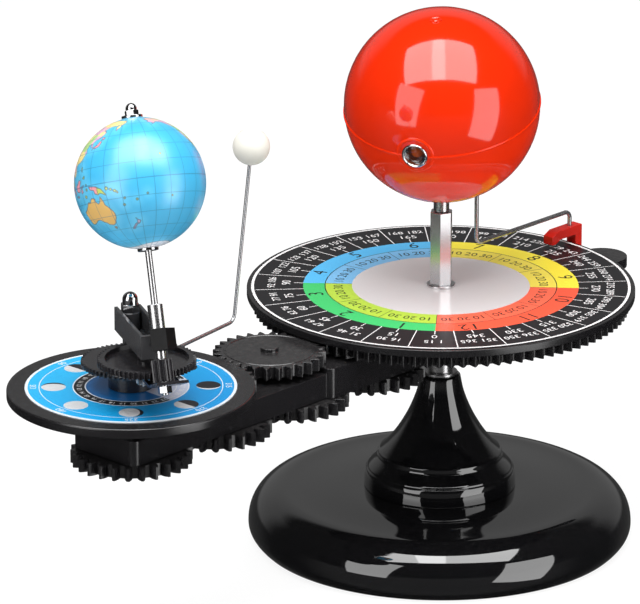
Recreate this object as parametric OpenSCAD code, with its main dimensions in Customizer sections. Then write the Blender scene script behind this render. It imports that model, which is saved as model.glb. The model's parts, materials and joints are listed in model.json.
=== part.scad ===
// Tellurion: a teaching model of the Sun, the Earth and the Moon on a geared arm.
// Millimetres, +Z up. The origin is the middle of the base's underside, and the arm points along -X.

/* [Base] */
// Largest radius of the domed base
base_r = 108.5; // [104:0.5:114]
// Height of the base's rounded shoulder above the table
base_h = 29.5; // [28:0.5:34]
// Wall of the moulded base
base_wall = 3; // [2.5:0.25:3.5]
// Thickness of the flat cover under the base
cover_t = 2.4; // [2:0.2:3]
// Outer radius of the iron weight in the base
weight_r = 58; // [50:1:58]

/* [Pedestal and post] */
// Radius of the bell-shaped pedestal at its foot
bell_foot_r = 43; // [38:0.5:50]
// Radius of the pedestal near its top
bell_neck_r = 12.4; // [11.6:0.2:15]
// Height of the pedestal
bell_h = 66; // [60:0.5:74]
// Radius of the steel post that everything stands on
post_r = 4; // [3.5:0.1:5]
// Height of the bright collar between pedestal and gears
collar_h = 12; // [8:0.5:16]
// Radius of the bright collar
collar_r = 7; // [6:0.2:9]
// Width across flats of the bright hexagonal post
hex_flats = 11.6; // [11:0.1:14]
// Height of the hexagonal post
hex_h = 42.6; // [30:0.5:55]

/* [Gears] */
// Module of the upper train, from the disc's ring to the moon sleeve
upper_module = 2.1; // [2:0.02:2.2]
// Teeth of the fixed ring under the disc
ring_teeth = 99; // [98:1:100]
// Teeth of the top idler
top_idler_teeth = 28; // [27:1:29]
// Teeth of the idler hidden under the phase plate
hidden_idler_teeth = 36; // [35:1:37]
// Teeth of the moon sleeve's pinion
sleeve_teeth = 8; // [8:1:9]
// Teeth of each gear in the lower chain
chain_teeth = 26; // [24:2:28]
// Module of the fine train that turns the Earth
fine_module = 0.9; // [0.86:0.01:0.92]
// Teeth of the month gear on the moon sleeve
month_teeth = 58; // [56:1:60]
// Teeth of the relay pinion that the month gear drives
relay_pinion_teeth = 11; // [11:1:12]
// Teeth of the relay gear
relay_teeth = 57; // [56:1:58]
// Teeth of the Earth's pinion
earth_pinion_teeth = 11; // [11:1:12]
// Face width of the lower chain's gears
chain_h = 7.2; // [5:0.2:9]
// Face width of the upper train's gears
upper_h = 6.9; // [5:0.1:8]
// Angle of the top idler off the arm's middle line
idler_angle = 2.4; // [0:0.2:3]

/* [Disc] */
// Radius of the calendar disc
disc_r = 109; // [108.5:0.5:112]
// Thickness of the calendar disc
disc_t = 4.2; // [3:0.2:6]
// Thickness of a printed label
label_t = 0.4; // [0.3:0.1:0.6]

/* [Arm] */
// Half width of the arm's outer part
arm_half = 23.5; // [22:0.5:25]
// Height of the arm's outer part
arm_h = 14.1; // [12:0.1:18]
// Extra height of the arm's inner part
arm_raise = 3.1; // [2:0.1:4]
// How far the arm reaches past the Earth's axis
arm_over = 21.7; // [21.5:0.1:26]
// Wall of the arm's housing
arm_wall = 2.4; // [2:0.1:3]
// Half width of the arm's tail
tail_half = 14; // [11:0.5:18]
// Reach of the arm's tail behind the post
tail_reach = 152.5; // [140:0.5:165]

/* [Moon] */
// Radius of the phase plate
plate_r = 66.8; // [64:0.2:70]
// Thickness of the phase plate
plate_t = 5.6; // [4:0.2:8]
// Radius of the moon hub
hub_r = 12.2; // [11:0.2:14]
// Height of the moon hub
hub_h = 12; // [9:0.5:14]
// Radius at which the Moon's wire turns up
moon_bend_r = 96; // [90:0.5:105]
// Radius of the Moon's orbit
moon_orbit_r = 113.3; // [108:0.5:116]
// Height of the Moon above its wire's level run
moon_rise = 95.5; // [80:0.5:105]
// Radius of the Moon
moon_r = 10.2; // [8:0.2:12]
// Direction of the Moon at rest, from the +X axis
moon_azimuth = 9; // [0:1:30]

/* [Earth] */
// Radius of the Earth globe
earth_r = 34.85; // [31:0.25:37]
// Tilt of the Earth's axis
earth_tilt = 23.5; // [22:0.5:25]
// Direction from the plate's axis to the foot of the Earth's shaft
stage_azimuth = -119; // [-130:1:-100]
// Distance along the Earth's shaft from its pinion to the globe's middle
earth_up = 102.5; // [98:0.5:112]
// Radius of the Earth's shaft
earth_shaft_r = 1.8; // [1.5:0.1:2.1]

/* [Sun] */
// Radius of the Sun globe
sun_r = 54.8; // [50:0.5:57]
// Wall of the Sun's shells
sun_wall = 2; // [1.5:0.1:3]
// Tilt of the Sun's shells
sun_tilt = 14.5; // [5:0.5:18]
// Direction that the Sun's lens faces
sun_azimuth = -154; // [-180:1:-140]
// Radius of the lens ring
lens_ring_r = 7.3; // [6:0.1:9]
// Radius at which the drive wire enters the Sun
wire_in_r = 29.5; // [24:0.5:34]

/* [Hidden] */
$fn = 96;

// Clearances
running = 0.05;
snug = 0.02;
gap = 0.4;
wide_gap = 0.7;
through = 1;
// A bend is a hair thinner than the straights that reach into it
bend_slim = 0.04;
bend_lap = 0.4;

// Tooth forms: pressure angle, tip and root heights in modules, and how much each tooth is thinned
chain_form = [22, 0.92, 1.2, 0.5];
upper_form = [27, 0.85, 1.15, 0.5];
fine_form = [25, 0.8, 1.1, 0.24];

// Turns a gear so that its teeth sit in the gaps of the gear that drives it
function mesh_turn(toward, turn, teeth, next_teeth) =
    toward + 180 + (toward - turn) * teeth / next_teeth + 180 / next_teeth;
function involute(angle) = tan(angle) * 180 / PI - angle;
function flank_angle(r, base, half, form) =
    half + involute(form[0]) - involute(acos(min(1, base / r)));
// One tooth flank as pairs of radius and angle, from root to tip
function flank(size, teeth, form, steps = 3) =
    let (pitch = size * teeth / 2,
         base = pitch * cos(form[0]),
         tip = pitch + form[1] * size,
         root = pitch - form[2] * size,
         half = 90 / teeth - form[3] / (2 * pitch) * 180 / PI,
         start = max(base, root))
    concat(root < base ? [[root, half + involute(form[0])]] : [],
           [for (k = [0 : steps])
               let (r = start + (tip - start) * k / steps)
               [r, flank_angle(r, base, half, form)]]);
function polar(r, angle) = [r * cos(angle), r * sin(angle)];
function gear_points(size, teeth, form, turn) =
    let (side = flank(size, teeth, form), last = len(side) - 1)
    [for (i = [0 : teeth - 1], k = [0 : 2 * last + 1])
        let (middle = turn + 360 * i / teeth)
        k <= last ? polar(side[k][0], middle - side[k][1])
                  : polar(side[2 * last + 1 - k][0], middle + side[2 * last + 1 - k][1])];
function tip_r(size, teeth, form) = size * (teeth / 2 + form[1]);

// Plan of the upper train
ring_pitch_r = upper_module * ring_teeth / 2;
ring_to_idler = upper_module * (ring_teeth + top_idler_teeth) / 2;
idler_to_hidden = upper_module * (top_idler_teeth + hidden_idler_teeth) / 2;
hidden_to_sleeve = upper_module * (hidden_idler_teeth + sleeve_teeth) / 2;
top_idler_at = [-ring_to_idler * cos(idler_angle), ring_to_idler * sin(idler_angle)];
hidden_idler_at = top_idler_at - [idler_to_hidden, 0];
fold = asin(hidden_idler_at[1] / hidden_to_sleeve);
reach = -hidden_idler_at[0] + hidden_to_sleeve * cos(fold);
top_idler_turn = mesh_turn(180 - idler_angle, 0, ring_teeth, top_idler_teeth);
hidden_idler_turn = mesh_turn(180, top_idler_turn, top_idler_teeth, hidden_idler_teeth);
sleeve_turn = mesh_turn(180 + fold, hidden_idler_turn, hidden_idler_teeth, sleeve_teeth);
ring_tip_r = tip_r(upper_module, ring_teeth, upper_form);
ring_root_r = ring_pitch_r - upper_form[2] * upper_module;
sleeve_tip_r = tip_r(upper_module, sleeve_teeth, upper_form);

// Plan of the lower chain: four equal steps from the post to the Earth's axis
chain_step = reach / 4;
chain_module = chain_step / chain_teeth;
function chain_turn(k) = k == 0 ? 0 : mesh_turn(180, chain_turn(k - 1), chain_teeth, chain_teeth);

// Plan of the fine train, measured from the Earth's central shaft toward the foot of its tilted shaft
relay_at = fine_module * (month_teeth + relay_pinion_teeth) / 2;
relay_turn = 0;
relay_pinion_turn = mesh_turn(0, -stage_azimuth, month_teeth, relay_pinion_teeth);
relay_tip_r = tip_r(fine_module, relay_teeth, fine_form);
earth_pinion_r = tip_r(fine_module, earth_pinion_teeth, fine_form);
lean_room = earth_pinion_r * (1 / cos(earth_tilt) - 1);
earth_foot = relay_at + fine_module * (relay_teeth + earth_pinion_teeth) / 2 + lean_room;

// Heights, from the table up
base_foot_z = 8.7;
base_crown = 1.5;
base_top = base_h + base_crown;
foot_r = base_r - 5;
crest_r = base_r - 17.5;
shoulder_r = base_r - 22.5;
shoulder_power = 0.885;
boss_h = 12;
bell_wall = 2.4;
bell_steep = 8.5;
bell_middle = 0.4;
bell_drum_h = 8.8;
bell_top = base_top + bell_h;
washer_t = 1.5;
collar_z = bell_top + washer_t;
chain_z = collar_z + collar_h + gap;
chain_top = chain_z + chain_h;
center_web_t = min(2.4, chain_h - 1);
arm_z = chain_top + gap;
arm_top = arm_z + arm_h;
raised_top = arm_top + arm_raise;
upper_z = raised_top + wide_gap;
upper_top = upper_z + upper_h;
disc_z = upper_top + 1;
disc_top = disc_z + disc_t;
label_top = disc_top + label_t;
hex_z = label_top + washer_t;
hex_top = hex_z + hex_h;
post_foot_z = cover_t + 4;
post_top = hex_z + 14;
pin_head_t = 1.6;
plate_z = upper_top + gap + pin_head_t + 2.1;
plate_top = plate_z + plate_t;
hub_z = plate_top + label_t + gap;
hub_top = hub_z + hub_h;
month_t = 2.9;
month_top = hub_top + month_t;
stage_z = month_top + 3.1;
stage_t = 1.6;
stage_top = stage_z + stage_t;
relay_z = stage_top + 2.9;
relay_rim_t = 4;
relay_top = relay_z + relay_rim_t;

// Radii
post_bore_r = 2;
shaft_r = 3;
pin_r = 3;
sleeve_relief = 4.2;
sleeve_r = sleeve_tip_r - sleeve_relief;
bush_r = post_r + 3;
shaft_bush_r = shaft_r + 2;
raised_half = arm_half + 3;
raised_start = -(ring_tip_r + 12.7);
raised_end = 30;
arm_end = -(reach + arm_over);
arm_corner = 4;
pin_boss_r = 5.5;
pin_head_r = 5;
fine_shaft_r = 2;
wire_r = 1.25;
moon_wire_r = 1;
moon_wire_z = hub_z + hub_h * 0.73;

// Sun
neck_r = 3.2;
sun_tube_r = 4.4;
sun_bottom = hex_top + 7.2;
sun_z = sun_bottom + sun_r;
wire_z = disc_top + 18.2;
wire_bend = 4;
pointer_t = 7;
pointer_finger_z = label_top + 4;
pointer_finger_t = 5.2;
pointer_top = pointer_finger_z + pointer_finger_t;
pointer_leg_x = max(disc_r, ring_tip_r) + 1.6;
pointer_leg_w = 5.4;
wire_out_r = pointer_leg_x - 1.6;
lens_r = lens_ring_r - 1.7;

// Earth shaft stations, along the shaft from the point level with the relay gear's top
tab_top_s = -3.6;
tab_t = 1.6;
pinion_low_s = tab_top_s + 0.4;
pinion_top_s = 8.6;
block_low_s = 13.4;
block_h = 11.5;
block_w = 9.8;
block_out = 2.4;
lower_bush_r = 2.7;
tube_r = 4.1;
tube_h = 13;
nut_h = 3.6;
earth_wall = 1.6;
earth_washer_t = 1.6;
earth_washer_r = 5.6;
earth_seat = 0.4;
cap_h = 6.6;
cap_bore = 3.2;
cap_s = earth_up + earth_r - earth_seat + earth_washer_t;
stage_left = 6;
stage_right = 11.5;
stage_end_r = 9;
tab_out = 7;
bracket_z = relay_top + 4;
bracket_h = 13;
bracket_top = bracket_z + bracket_h;
cheek_at = 6.4;
cheek_t = 1.8;
boss_r = relay_at - relay_tip_r - gap;
front_wall_t = 2.4;
spigot_r = 2.2;
spigot_l = 6;
spigot_z = bracket_z + 9;
block_back = block_w / sqrt(2) * cos(earth_tilt);
front_wall = earth_foot - (block_low_s + block_h) * sin(earth_tilt) - block_back - gap / 2;

// Base pieces that are placed from one another
cover_r = foot_r - base_wall - snug;
tray_size = [58, 32, 15];
tray_room = 4;
tray_at = [0, sqrt(pow(cover_r - tray_room, 2) - pow(tray_size[0] / 2, 2)) - tray_size[1] / 2];
tray_wall = 1.4;
weight_w = 32;
weight_h = 17;
weight_room = 1.5;
cell_r = 6.8;
cell_l = 50;
door_size = [50, 24];
door_t = 1.4;
switch_at = [0, -(cover_r - 24.5)];
switch_size = [16, 9, 6];
slot_size = [10, 5];
knob_size = [5, 4];
cover_screw_r = crest_r - 3;
cover_screw_angles = [45, 135, 225, 315];
screw_boss_r = 4;
screw_r = 1.48;
screw_l = 11;
screw_head_r = 3;
screw_head_t = 1;

// Shared shapes

// Tube standing on its lower end
module tube(outer, inner, h) {
    difference() {
        cylinder(r = outer, h = h);
        translate([0, 0, -through])
            cylinder(r = inner, h = h + 2 * through);
    }
}

// Hexagonal bar, measured across its flats
module hex_bar(flats, h) {
    cylinder(d = flats / cos(30), h = h, $fn = 6);
}

// Toothed wheel standing on its lower face
module gear(size, teeth, form, turn, h, bore) {
    difference() {
        linear_extrude(h)
            polygon(gear_points(size, teeth, form, turn));
        translate([0, 0, -through])
            cylinder(r = bore, h = h + 2 * through);
    }
}

// Flat strip with rounded corners, from one x to another
module strip(x0, x1, half, corner) {
    translate([x0 + corner, -half])
        square([x1 - x0 - 2 * corner, 2 * half]);
    translate([x0, corner - half])
        square([x1 - x0, 2 * (half - corner)]);
    for (x = [x0 + corner, x1 - corner], side = [-1, 1])
        translate([x, side * (half - corner)])
            circle(corner);
}

// Quarter bend of a wire in the XZ plane, from pointing along +X to pointing along +Z
module wire_bend_up(r, bend, angle) {
    translate([0, 0, bend])
        rotate([90, 0, 0])
            rotate([0, 0, -90])
                rotate_extrude(angle = angle)
                    translate([bend, 0])
                        circle(r - bend_slim, $fn = 32);
}

// Places things at the Earth's central axis, with +X toward the foot of the tilted shaft
module at_stage() {
    translate([-reach, 0, 0])
        rotate([0, 0, stage_azimuth])
            children();
}

// Places things along the Earth's tilted shaft, with +Z toward the pole
module at_earth_shaft(station = 0) {
    at_stage()
        translate([earth_foot, 0, relay_top])
            rotate([0, -earth_tilt, 0])
                translate([0, 0, station])
                    children();
}

// Places things on the Sun, with +X toward the lens
module at_sun() {
    translate([0, 0, sun_z])
        rotate([0, 0, sun_azimuth])
            rotate([0, sun_tilt, 0])
                children();
}

// Domed nut standing on its lower face
module dome_nut(flats, hex_part, h) {
    dome_r = flats / 2 - 0.3;
    hex_bar(flats, hex_part);
    translate([0, 0, hex_part])
        cylinder(r = dome_r, h = h - hex_part - dome_r);
    translate([0, 0, h - dome_r])
        sphere(dome_r);
}

// Base

function base_outline(inset) = concat(
    [for (t = [0 : 0.25 : 1]) [base_r - inset - 5 * pow(1 - t, 2), base_foot_z * t]],
    [for (a = [10 : 10 : 90])
        [shoulder_r + (base_r - shoulder_r - inset) * pow(cos(a), shoulder_power),
         base_foot_z + (base_h - base_foot_z - inset) * pow(sin(a), shoulder_power)]],
    [[bell_foot_r + 4, base_top - inset], [0, base_top - inset], [0, 0]]);

module base_shell() {
    color([0.05, 0.05, 0.06]) {
        difference() {
            rotate_extrude()
                difference() {
                    polygon(base_outline(0));
                    polygon(base_outline(base_wall));
                }
            translate([0, 0, base_top - 2 * base_wall])
                cylinder(r = post_r + snug, h = 4 * base_wall);
        }
        translate([0, 0, base_top - boss_h])
            tube(post_r + 10, post_r + snug, boss_h - base_wall + 0.1);
        for (a = cover_screw_angles)
            rotate([0, 0, a])
                translate([cover_screw_r, 0, cover_t])
                    difference() {
                        cylinder(r = screw_boss_r, h = base_h - base_wall / 2 - cover_t);
                        translate([0, 0, -through])
                            cylinder(r = screw_r + snug, h = screw_l + through);
                    }
    }
}

module base_cover() {
    color([0.07, 0.07, 0.08])
        difference() {
            cylinder(r = cover_r, h = cover_t);
            translate([tray_at[0] - door_size[0] / 2 - 0.2, tray_at[1] - door_size[1] / 2 - 0.2, -through])
                cube([door_size[0] + 0.4, door_size[1] + 0.4, cover_t + 2 * through]);
            translate([switch_at[0] - slot_size[0] / 2, switch_at[1] - slot_size[1] / 2, -through])
                cube([slot_size[0], slot_size[1], cover_t + 2 * through]);
            for (a = cover_screw_angles)
                rotate([0, 0, a])
                    translate([cover_screw_r, 0, -through]) {
                        cylinder(r = screw_r + 0.12, h = cover_t + 2 * through);
                        cylinder(r = screw_head_r + 0.2, h = screw_head_t + 0.2 + through);
                    }
        }
}

module base_screws() {
    color("silver")
        for (a = cover_screw_angles)
            rotate([0, 0, a])
                translate([cover_screw_r, 0, 0.2]) {
                    cylinder(r = screw_head_r, h = screw_head_t);
                    cylinder(r = screw_r, h = screw_l);
                }
}

module base_weight() {
    color([0.25, 0.25, 0.26])
        difference() {
            translate([0, 0, cover_t])
                tube(weight_r, weight_r - weight_w, weight_h);
            translate([-tray_size[0] / 2 - weight_room, tray_at[1] - tray_size[1] / 2 - weight_room, 0])
                cube(tray_size + [2 * weight_room, weight_r, weight_h]);
        }
}

module battery_tray() {
    color([0.08, 0.08, 0.09])
        translate([tray_at[0] - tray_size[0] / 2, tray_at[1] - tray_size[1] / 2, cover_t])
            difference() {
                cube(tray_size);
                translate([tray_wall, tray_wall, -through])
                    cube(tray_size - [2 * tray_wall, 2 * tray_wall, tray_wall - through]);
            }
}

module battery_cells() {
    color([0.2, 0.4, 0.3])
        for (side = [-1, 1])
            translate([tray_at[0] - cell_l / 2, tray_at[1] + side * (cell_r + 0.2), cover_t + cell_r - 0.2])
                rotate([0, 90, 0]) {
                    cylinder(r = cell_r, h = cell_l);
                    cylinder(r = 2.7, h = cell_l + 1.6);
                }
}

module battery_door() {
    color([0.07, 0.07, 0.08])
        translate([tray_at[0] - door_size[0] / 2, tray_at[1] - door_size[1] / 2, 0.2])
            cube([door_size[0], door_size[1], door_t]);
}

module switch_body() {
    color([0.1, 0.1, 0.1])
        translate([switch_at[0] - switch_size[0] / 2, switch_at[1] - switch_size[1] / 2, cover_t + 1.2 + gap])
            cube(switch_size);
}

module switch_slider() {
    color([0.75, 0.75, 0.72])
        translate([switch_at[0] - slot_size[0] / 2 + gap, switch_at[1], 0.3]) {
            translate([0, -knob_size[1] / 2, 0])
                cube([knob_size[0], knob_size[1], cover_t + 0.4]);
            translate([-3, -knob_size[1] / 2 - 1, cover_t])
                cube([knob_size[0] + 6, knob_size[1] + 2, 0.9]);
        }
}

// Pedestal and post

function bell_at(z) =
    bell_neck_r + (bell_foot_r - bell_neck_r) * (1 + exp(-bell_steep * bell_middle))
                  / (1 + exp(bell_steep * (z / bell_h - bell_middle)));
function bell_outline(inset) = concat(
    [[0, 0], [bell_foot_r - inset, 0], [bell_foot_r - inset, bell_drum_h],
     [bell_foot_r - 1.2 - inset, bell_drum_h + 1.7]],
    [for (t = [0.18 : 0.04 : 0.96]) [bell_at(t * bell_h) - inset, t * bell_h]],
    [[bell_neck_r - 1 - inset, bell_h - 1], [bell_neck_r - 2.2 - inset, bell_h], [0, bell_h]]);

module pedestal() {
    color([0.05, 0.05, 0.06])
        translate([0, 0, base_top])
            difference() {
                rotate_extrude()
                    difference() {
                        polygon(bell_outline(0));
                        translate([0, -through])
                            square([post_r + snug, bell_h + 2 * through]);
                        intersection() {
                            translate([post_r + 2, 0])
                                square([bell_foot_r, bell_h - 5]);
                            polygon(bell_outline(bell_wall));
                        }
                    }
            }
}

module main_post() {
    color("silver")
        translate([0, 0, post_foot_z])
            tube(post_r, post_bore_r, post_top - post_foot_z);
}

module post_nut() {
    color("silver")
        translate([0, 0, base_top - boss_h - 6])
            difference() {
                hex_bar(4 * post_r, 6);
                translate([0, 0, -through])
                    cylinder(r = post_r + snug, h = 6 + 2 * through);
            }
}

module post_washers() {
    color("silver") {
        translate([0, 0, bell_top])
            tube(collar_r + 2.6, post_r + snug, washer_t);
        translate([0, 0, label_top])
            tube(hex_flats / 2 + 2.2, post_r + snug, washer_t);
    }
}

module post_collar() {
    color("silver")
        translate([0, 0, collar_z])
            tube(collar_r, post_r + snug, collar_h);
}

module center_gear() {
    color([0.07, 0.07, 0.08]) {
        translate([0, 0, chain_top - center_web_t])
            gear(chain_module, chain_teeth, chain_form, chain_turn(0), center_web_t, post_r + snug);
        translate([0, 0, collar_z + collar_h])
            tube(post_r + 5, post_r + snug, gap + chain_h - center_web_t);
    }
}

module calendar_disc() {
    ring_z = raised_top + 2 * wide_gap;
    ring_inner = ring_root_r - 6;
    color([0.05, 0.05, 0.06]) {
        translate([0, 0, disc_z])
            tube(disc_r, post_r + snug, disc_t);
        translate([0, 0, ring_z])
            gear(upper_module, ring_teeth, upper_form, 0, disc_z - ring_z, ring_inner);
        translate([0, 0, raised_top + wide_gap])
            tube(post_r + 6, post_r + snug, disc_z - raised_top - wide_gap);
    }
}

module calendar_label() {
    color([0.6, 0.75, 0.6])
        translate([0, 0, disc_top])
            tube(disc_r - 2.4, post_r + snug, label_t);
}

module hex_post() {
    color("silver")
        translate([0, 0, hex_z])
            difference() {
                hex_bar(hex_flats, hex_h);
                translate([0, 0, -through])
                    cylinder(r = post_bore_r, h = hex_h + 2 * through);
                translate([0, 0, -through])
                    cylinder(r = post_r + snug, h = post_top - hex_z + through);
                translate([0, 0, hex_h - 8])
                    cylinder(r = neck_r + snug, h = 8 + through);
            }
}

module lamp_neck() {
    color("silver")
        translate([0, 0, hex_top - 8])
            tube(neck_r, 1.6, sun_bottom + 12 - hex_top + 8);
}

module lamp_socket() {
    socket_z = sun_bottom + 8;
    color([0.85, 0.85, 0.8])
        translate([0, 0, socket_z])
            difference() {
                cylinder(r = 7, h = 16);
                translate([0, 0, -through])
                    cylinder(r = neck_r + snug, h = 4 + through);
                translate([0, 0, 6])
                    cylinder(r = 5 + snug, h = 10 + through);
            }
}

module lamp_bulb() {
    bulb_z = sun_bottom + 14.2;
    color([1, 0.95, 0.8])
        translate([0, 0, bulb_z]) {
            cylinder(r = 5, h = 14);
            translate([0, 0, 19])
                sphere(7);
        }
}

// Arm

module arm_plan(inset) {
    strip(arm_end + inset, raised_start + 10, arm_half - inset, arm_corner - min(inset, 2));
}

module raised_plan(inset) {
    strip(raised_start + inset, raised_end - inset, raised_half - inset, arm_corner - min(inset, 2));
}

// Spots along the arm that carry the lower chain's pins
chain_spots = [for (k = [1 : 3]) [-k * chain_step, 0]];
upper_spots = [top_idler_at, hidden_idler_at];

module arm_housing() {
    floor_z = arm_z + 2;
    color([0.09, 0.08, 0.1])
        difference() {
            union() {
                difference() {
                    translate([0, 0, arm_z])
                        union() {
                            linear_extrude(arm_h)
                                arm_plan(0);
                            linear_extrude(arm_h + arm_raise)
                                raised_plan(0);
                        }
                    translate([0, 0, arm_z - through])
                        linear_extrude(arm_h + through - arm_wall)
                            union() {
                                arm_plan(arm_wall);
                                raised_plan(arm_wall);
                            }
                }
                for (spot = concat(chain_spots, upper_spots))
                    translate([spot[0], spot[1], floor_z])
                        cylinder(r = pin_boss_r, h = arm_top - floor_z - arm_wall / 2);
                for (spot = upper_spots)
                    translate([spot[0], spot[1], arm_top - arm_wall / 2])
                        cylinder(r = pin_boss_r, h = upper_z - gap - arm_top + arm_wall / 2);
                translate([-reach, 0, floor_z])
                    cylinder(r = shaft_bush_r + 2.5, h = arm_top - floor_z - arm_wall / 2);
                translate([0, 0, floor_z])
                    cylinder(r = bush_r + 4, h = raised_top - floor_z - arm_wall / 2);
                translate([0, 0, arm_top - 6])
                    linear_extrude(6) {
                        translate([raised_end - 1, -tail_half])
                            square([tail_reach - tail_half - raised_end + 1, 2 * tail_half]);
                        translate([tail_reach - tail_half, 0])
                            circle(tail_half);
                    }
            }
            for (spot = chain_spots)
                translate([spot[0], spot[1], floor_z - through])
                    cylinder(r = pin_r + snug, h = arm_h - 4 + through);
            for (spot = upper_spots)
                translate([spot[0], spot[1], floor_z + 4])
                    cylinder(r = pin_r + snug, h = arm_h + 20);
            translate([-reach, 0, arm_z - through])
                cylinder(r = shaft_bush_r + snug, h = arm_h + 20);
            translate([0, 0, arm_z - through])
                cylinder(r = bush_r + snug, h = arm_h + 20);
        }
}

module arm_cover() {
    color([0.07, 0.07, 0.08])
        difference() {
            translate([0, 0, arm_z])
                linear_extrude(2)
                    union() {
                        arm_plan(arm_wall + 0.1);
                        raised_plan(arm_wall + 0.1);
                    }
            for (spot = chain_spots)
                translate([spot[0], spot[1], arm_z - through])
                    cylinder(r = pin_r + snug, h = 2 + 2 * through);
            translate([-reach, 0, arm_z - through])
                cylinder(r = shaft_bush_r + snug, h = 2 + 2 * through);
            translate([0, 0, arm_z - through])
                cylinder(r = bush_r + snug, h = 2 + 2 * through);
            for (spot = screw_spots)
                translate([spot[0], spot[1], arm_z - through])
                    cylinder(r = 1.5 + snug, h = 2 + 2 * through);
        }
}

// Screws that hold the arm's cover, in the middle of the arm between the gears' pins
screw_spots = [for (k = [0.5 : 1 : 3.5]) [-k * chain_step, 0]];

module arm_screws() {
    color("silver")
        for (spot = screw_spots)
            translate([spot[0], spot[1], arm_z + 0.1])
                cylinder(r = 1.5, h = arm_h - arm_wall - 0.1);
}

module arm_bushes() {
    color([0.8, 0.65, 0.3]) {
        translate([0, 0, arm_z])
            tube(bush_r, post_r + running, raised_top - arm_z);
        translate([-reach, 0, arm_z])
            tube(shaft_bush_r, shaft_r + running, arm_h);
    }
}

module axle_pins() {
    color("silver") {
        for (spot = chain_spots)
            translate([spot[0], spot[1], chain_z - gap]) {
                translate([0, 0, -pin_head_t])
                    cylinder(r = pin_head_r, h = pin_head_t);
                cylinder(r = pin_r, h = arm_z + arm_h - 4 - chain_z + gap);
            }
        for (spot = upper_spots)
            translate([spot[0], spot[1], arm_z + 6]) {
                cylinder(r = pin_r, h = upper_top + gap - arm_z - 6);
                translate([0, 0, upper_top + gap - arm_z - 6])
                    cylinder(r = pin_head_r, h = pin_head_t);
            }
    }
}

pillar_r = 3.4;
pillar_steps = [[-1.5, 18.5], [-16.5, 14]];
pillar_spots = [for (spot = pillar_steps, side = [-1, 1]) [spot[0] - reach, side * spot[1]]];

module plate_pillars() {
    color([0.07, 0.07, 0.08])
        for (spot = pillar_spots)
            translate([spot[0], spot[1], arm_top])
                cylinder(r = pillar_r, h = plate_z - arm_top);
}

module phase_plate() {
    color([0.06, 0.06, 0.07])
        translate([-reach, 0, plate_z])
            tube(plate_r, sleeve_r + running, plate_t);
}

module phase_label() {
    color([0.1, 0.55, 0.85])
        translate([-reach, 0, plate_top])
            tube(0.852 * plate_r, sleeve_r + running, label_t);
}

module date_pointer() {
    leg = pointer_leg_x;
    low = pointer_finger_z;
    tip = leg - 20;
    color([0.85, 0.1, 0.05])
        difference() {
            translate([0, pointer_t / 2, 0])
                rotate([90, 0, 0])
                    linear_extrude(pointer_t)
                        polygon([[leg, arm_top], [leg + pointer_leg_w, arm_top],
                                 [leg + pointer_leg_w, pointer_top], [tip + 5, pointer_top],
                                 [tip, pointer_top - 2.5], [tip, low - 2], [tip + 3, low - 2],
                                 [tip + 7, low], [leg, low]]);
            translate([wire_out_r, 0, low + 1])
                cylinder(r = wire_r + snug, h = 10);
        }
}

module sun_wire() {
    leg_z = wire_z + wire_bend - bend_lap;
    sun_skin_z = sun_z - sqrt(pow(sun_r, 2) - pow(wire_in_r, 2));
    run = wire_out_r - wire_in_r - 2 * wire_bend + 2 * bend_lap;
    socket_z = pointer_finger_z + 1.2;
    color("silver") {
        translate([wire_in_r, 0, leg_z])
            cylinder(r = wire_r, h = sun_skin_z + 4 - leg_z, $fn = 32);
        translate([wire_in_r + wire_bend, 0, wire_z])
            mirror([1, 0, 0])
                wire_bend_up(wire_r, wire_bend, 90);
        translate([wire_in_r + wire_bend - bend_lap, 0, wire_z])
            rotate([0, 90, 0])
                cylinder(r = wire_r, h = run, $fn = 32);
        translate([wire_out_r - wire_bend, 0, wire_z])
            mirror([0, 0, 1])
                wire_bend_up(wire_r, wire_bend, 90);
        translate([wire_out_r, 0, socket_z])
            cylinder(r = wire_r, h = wire_z - wire_bend + bend_lap - socket_z, $fn = 32);
    }
}

// Sun

// Cuts for the lens ring and, standing upright, for the post's tube and the drive wire
module sun_cuts() {
    rotate([0, 90, 0])
        cylinder(r = lens_ring_r - 0.7 + snug, h = sun_r + 5);
    translate([sun_r - 0.9, 0, 0])
        rotate([0, 90, 0])
            cylinder(r = lens_ring_r + 0.2, h = 6);
    rotate([0, -sun_tilt, 0])
        rotate([0, 0, -sun_azimuth]) {
            translate([0, 0, -sun_r - 5])
                cylinder(r = sun_tube_r + snug, h = 20);
            translate([wire_in_r, 0, -sun_r - 5])
                cylinder(r = wire_r + 0.35, h = sun_r);
        }
}

module sun_half() {
    difference() {
        sphere(sun_r);
        sphere(sun_r - sun_wall);
        translate([-2 * sun_r, -2 * sun_r, -4 * sun_r])
            cube(4 * sun_r);
        children();
    }
}

module sun_upper_shell() {
    color([0.93, 0.25, 0.1])
        at_sun()
            sun_half()
                sun_cuts();
}

module sun_lower_shell() {
    rib = 0.5;
    color([0.93, 0.25, 0.1])
        at_sun() {
            mirror([0, 0, 1])
                sun_half()
                    mirror([0, 0, 1])
                        sun_cuts();
            difference() {
                translate([0, 0, -1.4])
                    tube(sun_r + rib, sun_r - 1, 1.4);
                sun_cuts();
            }
        }
}

module sun_bearing() {
    flange_z = sun_z - sqrt(pow(sun_r - sun_wall, 2) - pow(sun_tube_r + 4, 2)) + 0.1;
    low = hex_top + gap;
    color([0.9, 0.88, 0.85])
        difference() {
            union() {
                translate([0, 0, low])
                    cylinder(r = sun_tube_r, h = flange_z + 2 - low);
                translate([0, 0, flange_z])
                    cylinder(r = sun_tube_r + 4, h = 2);
            }
            translate([0, 0, low - through])
                cylinder(r = neck_r + running, h = flange_z + 2 - low + 2 * through);
        }
}

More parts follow.
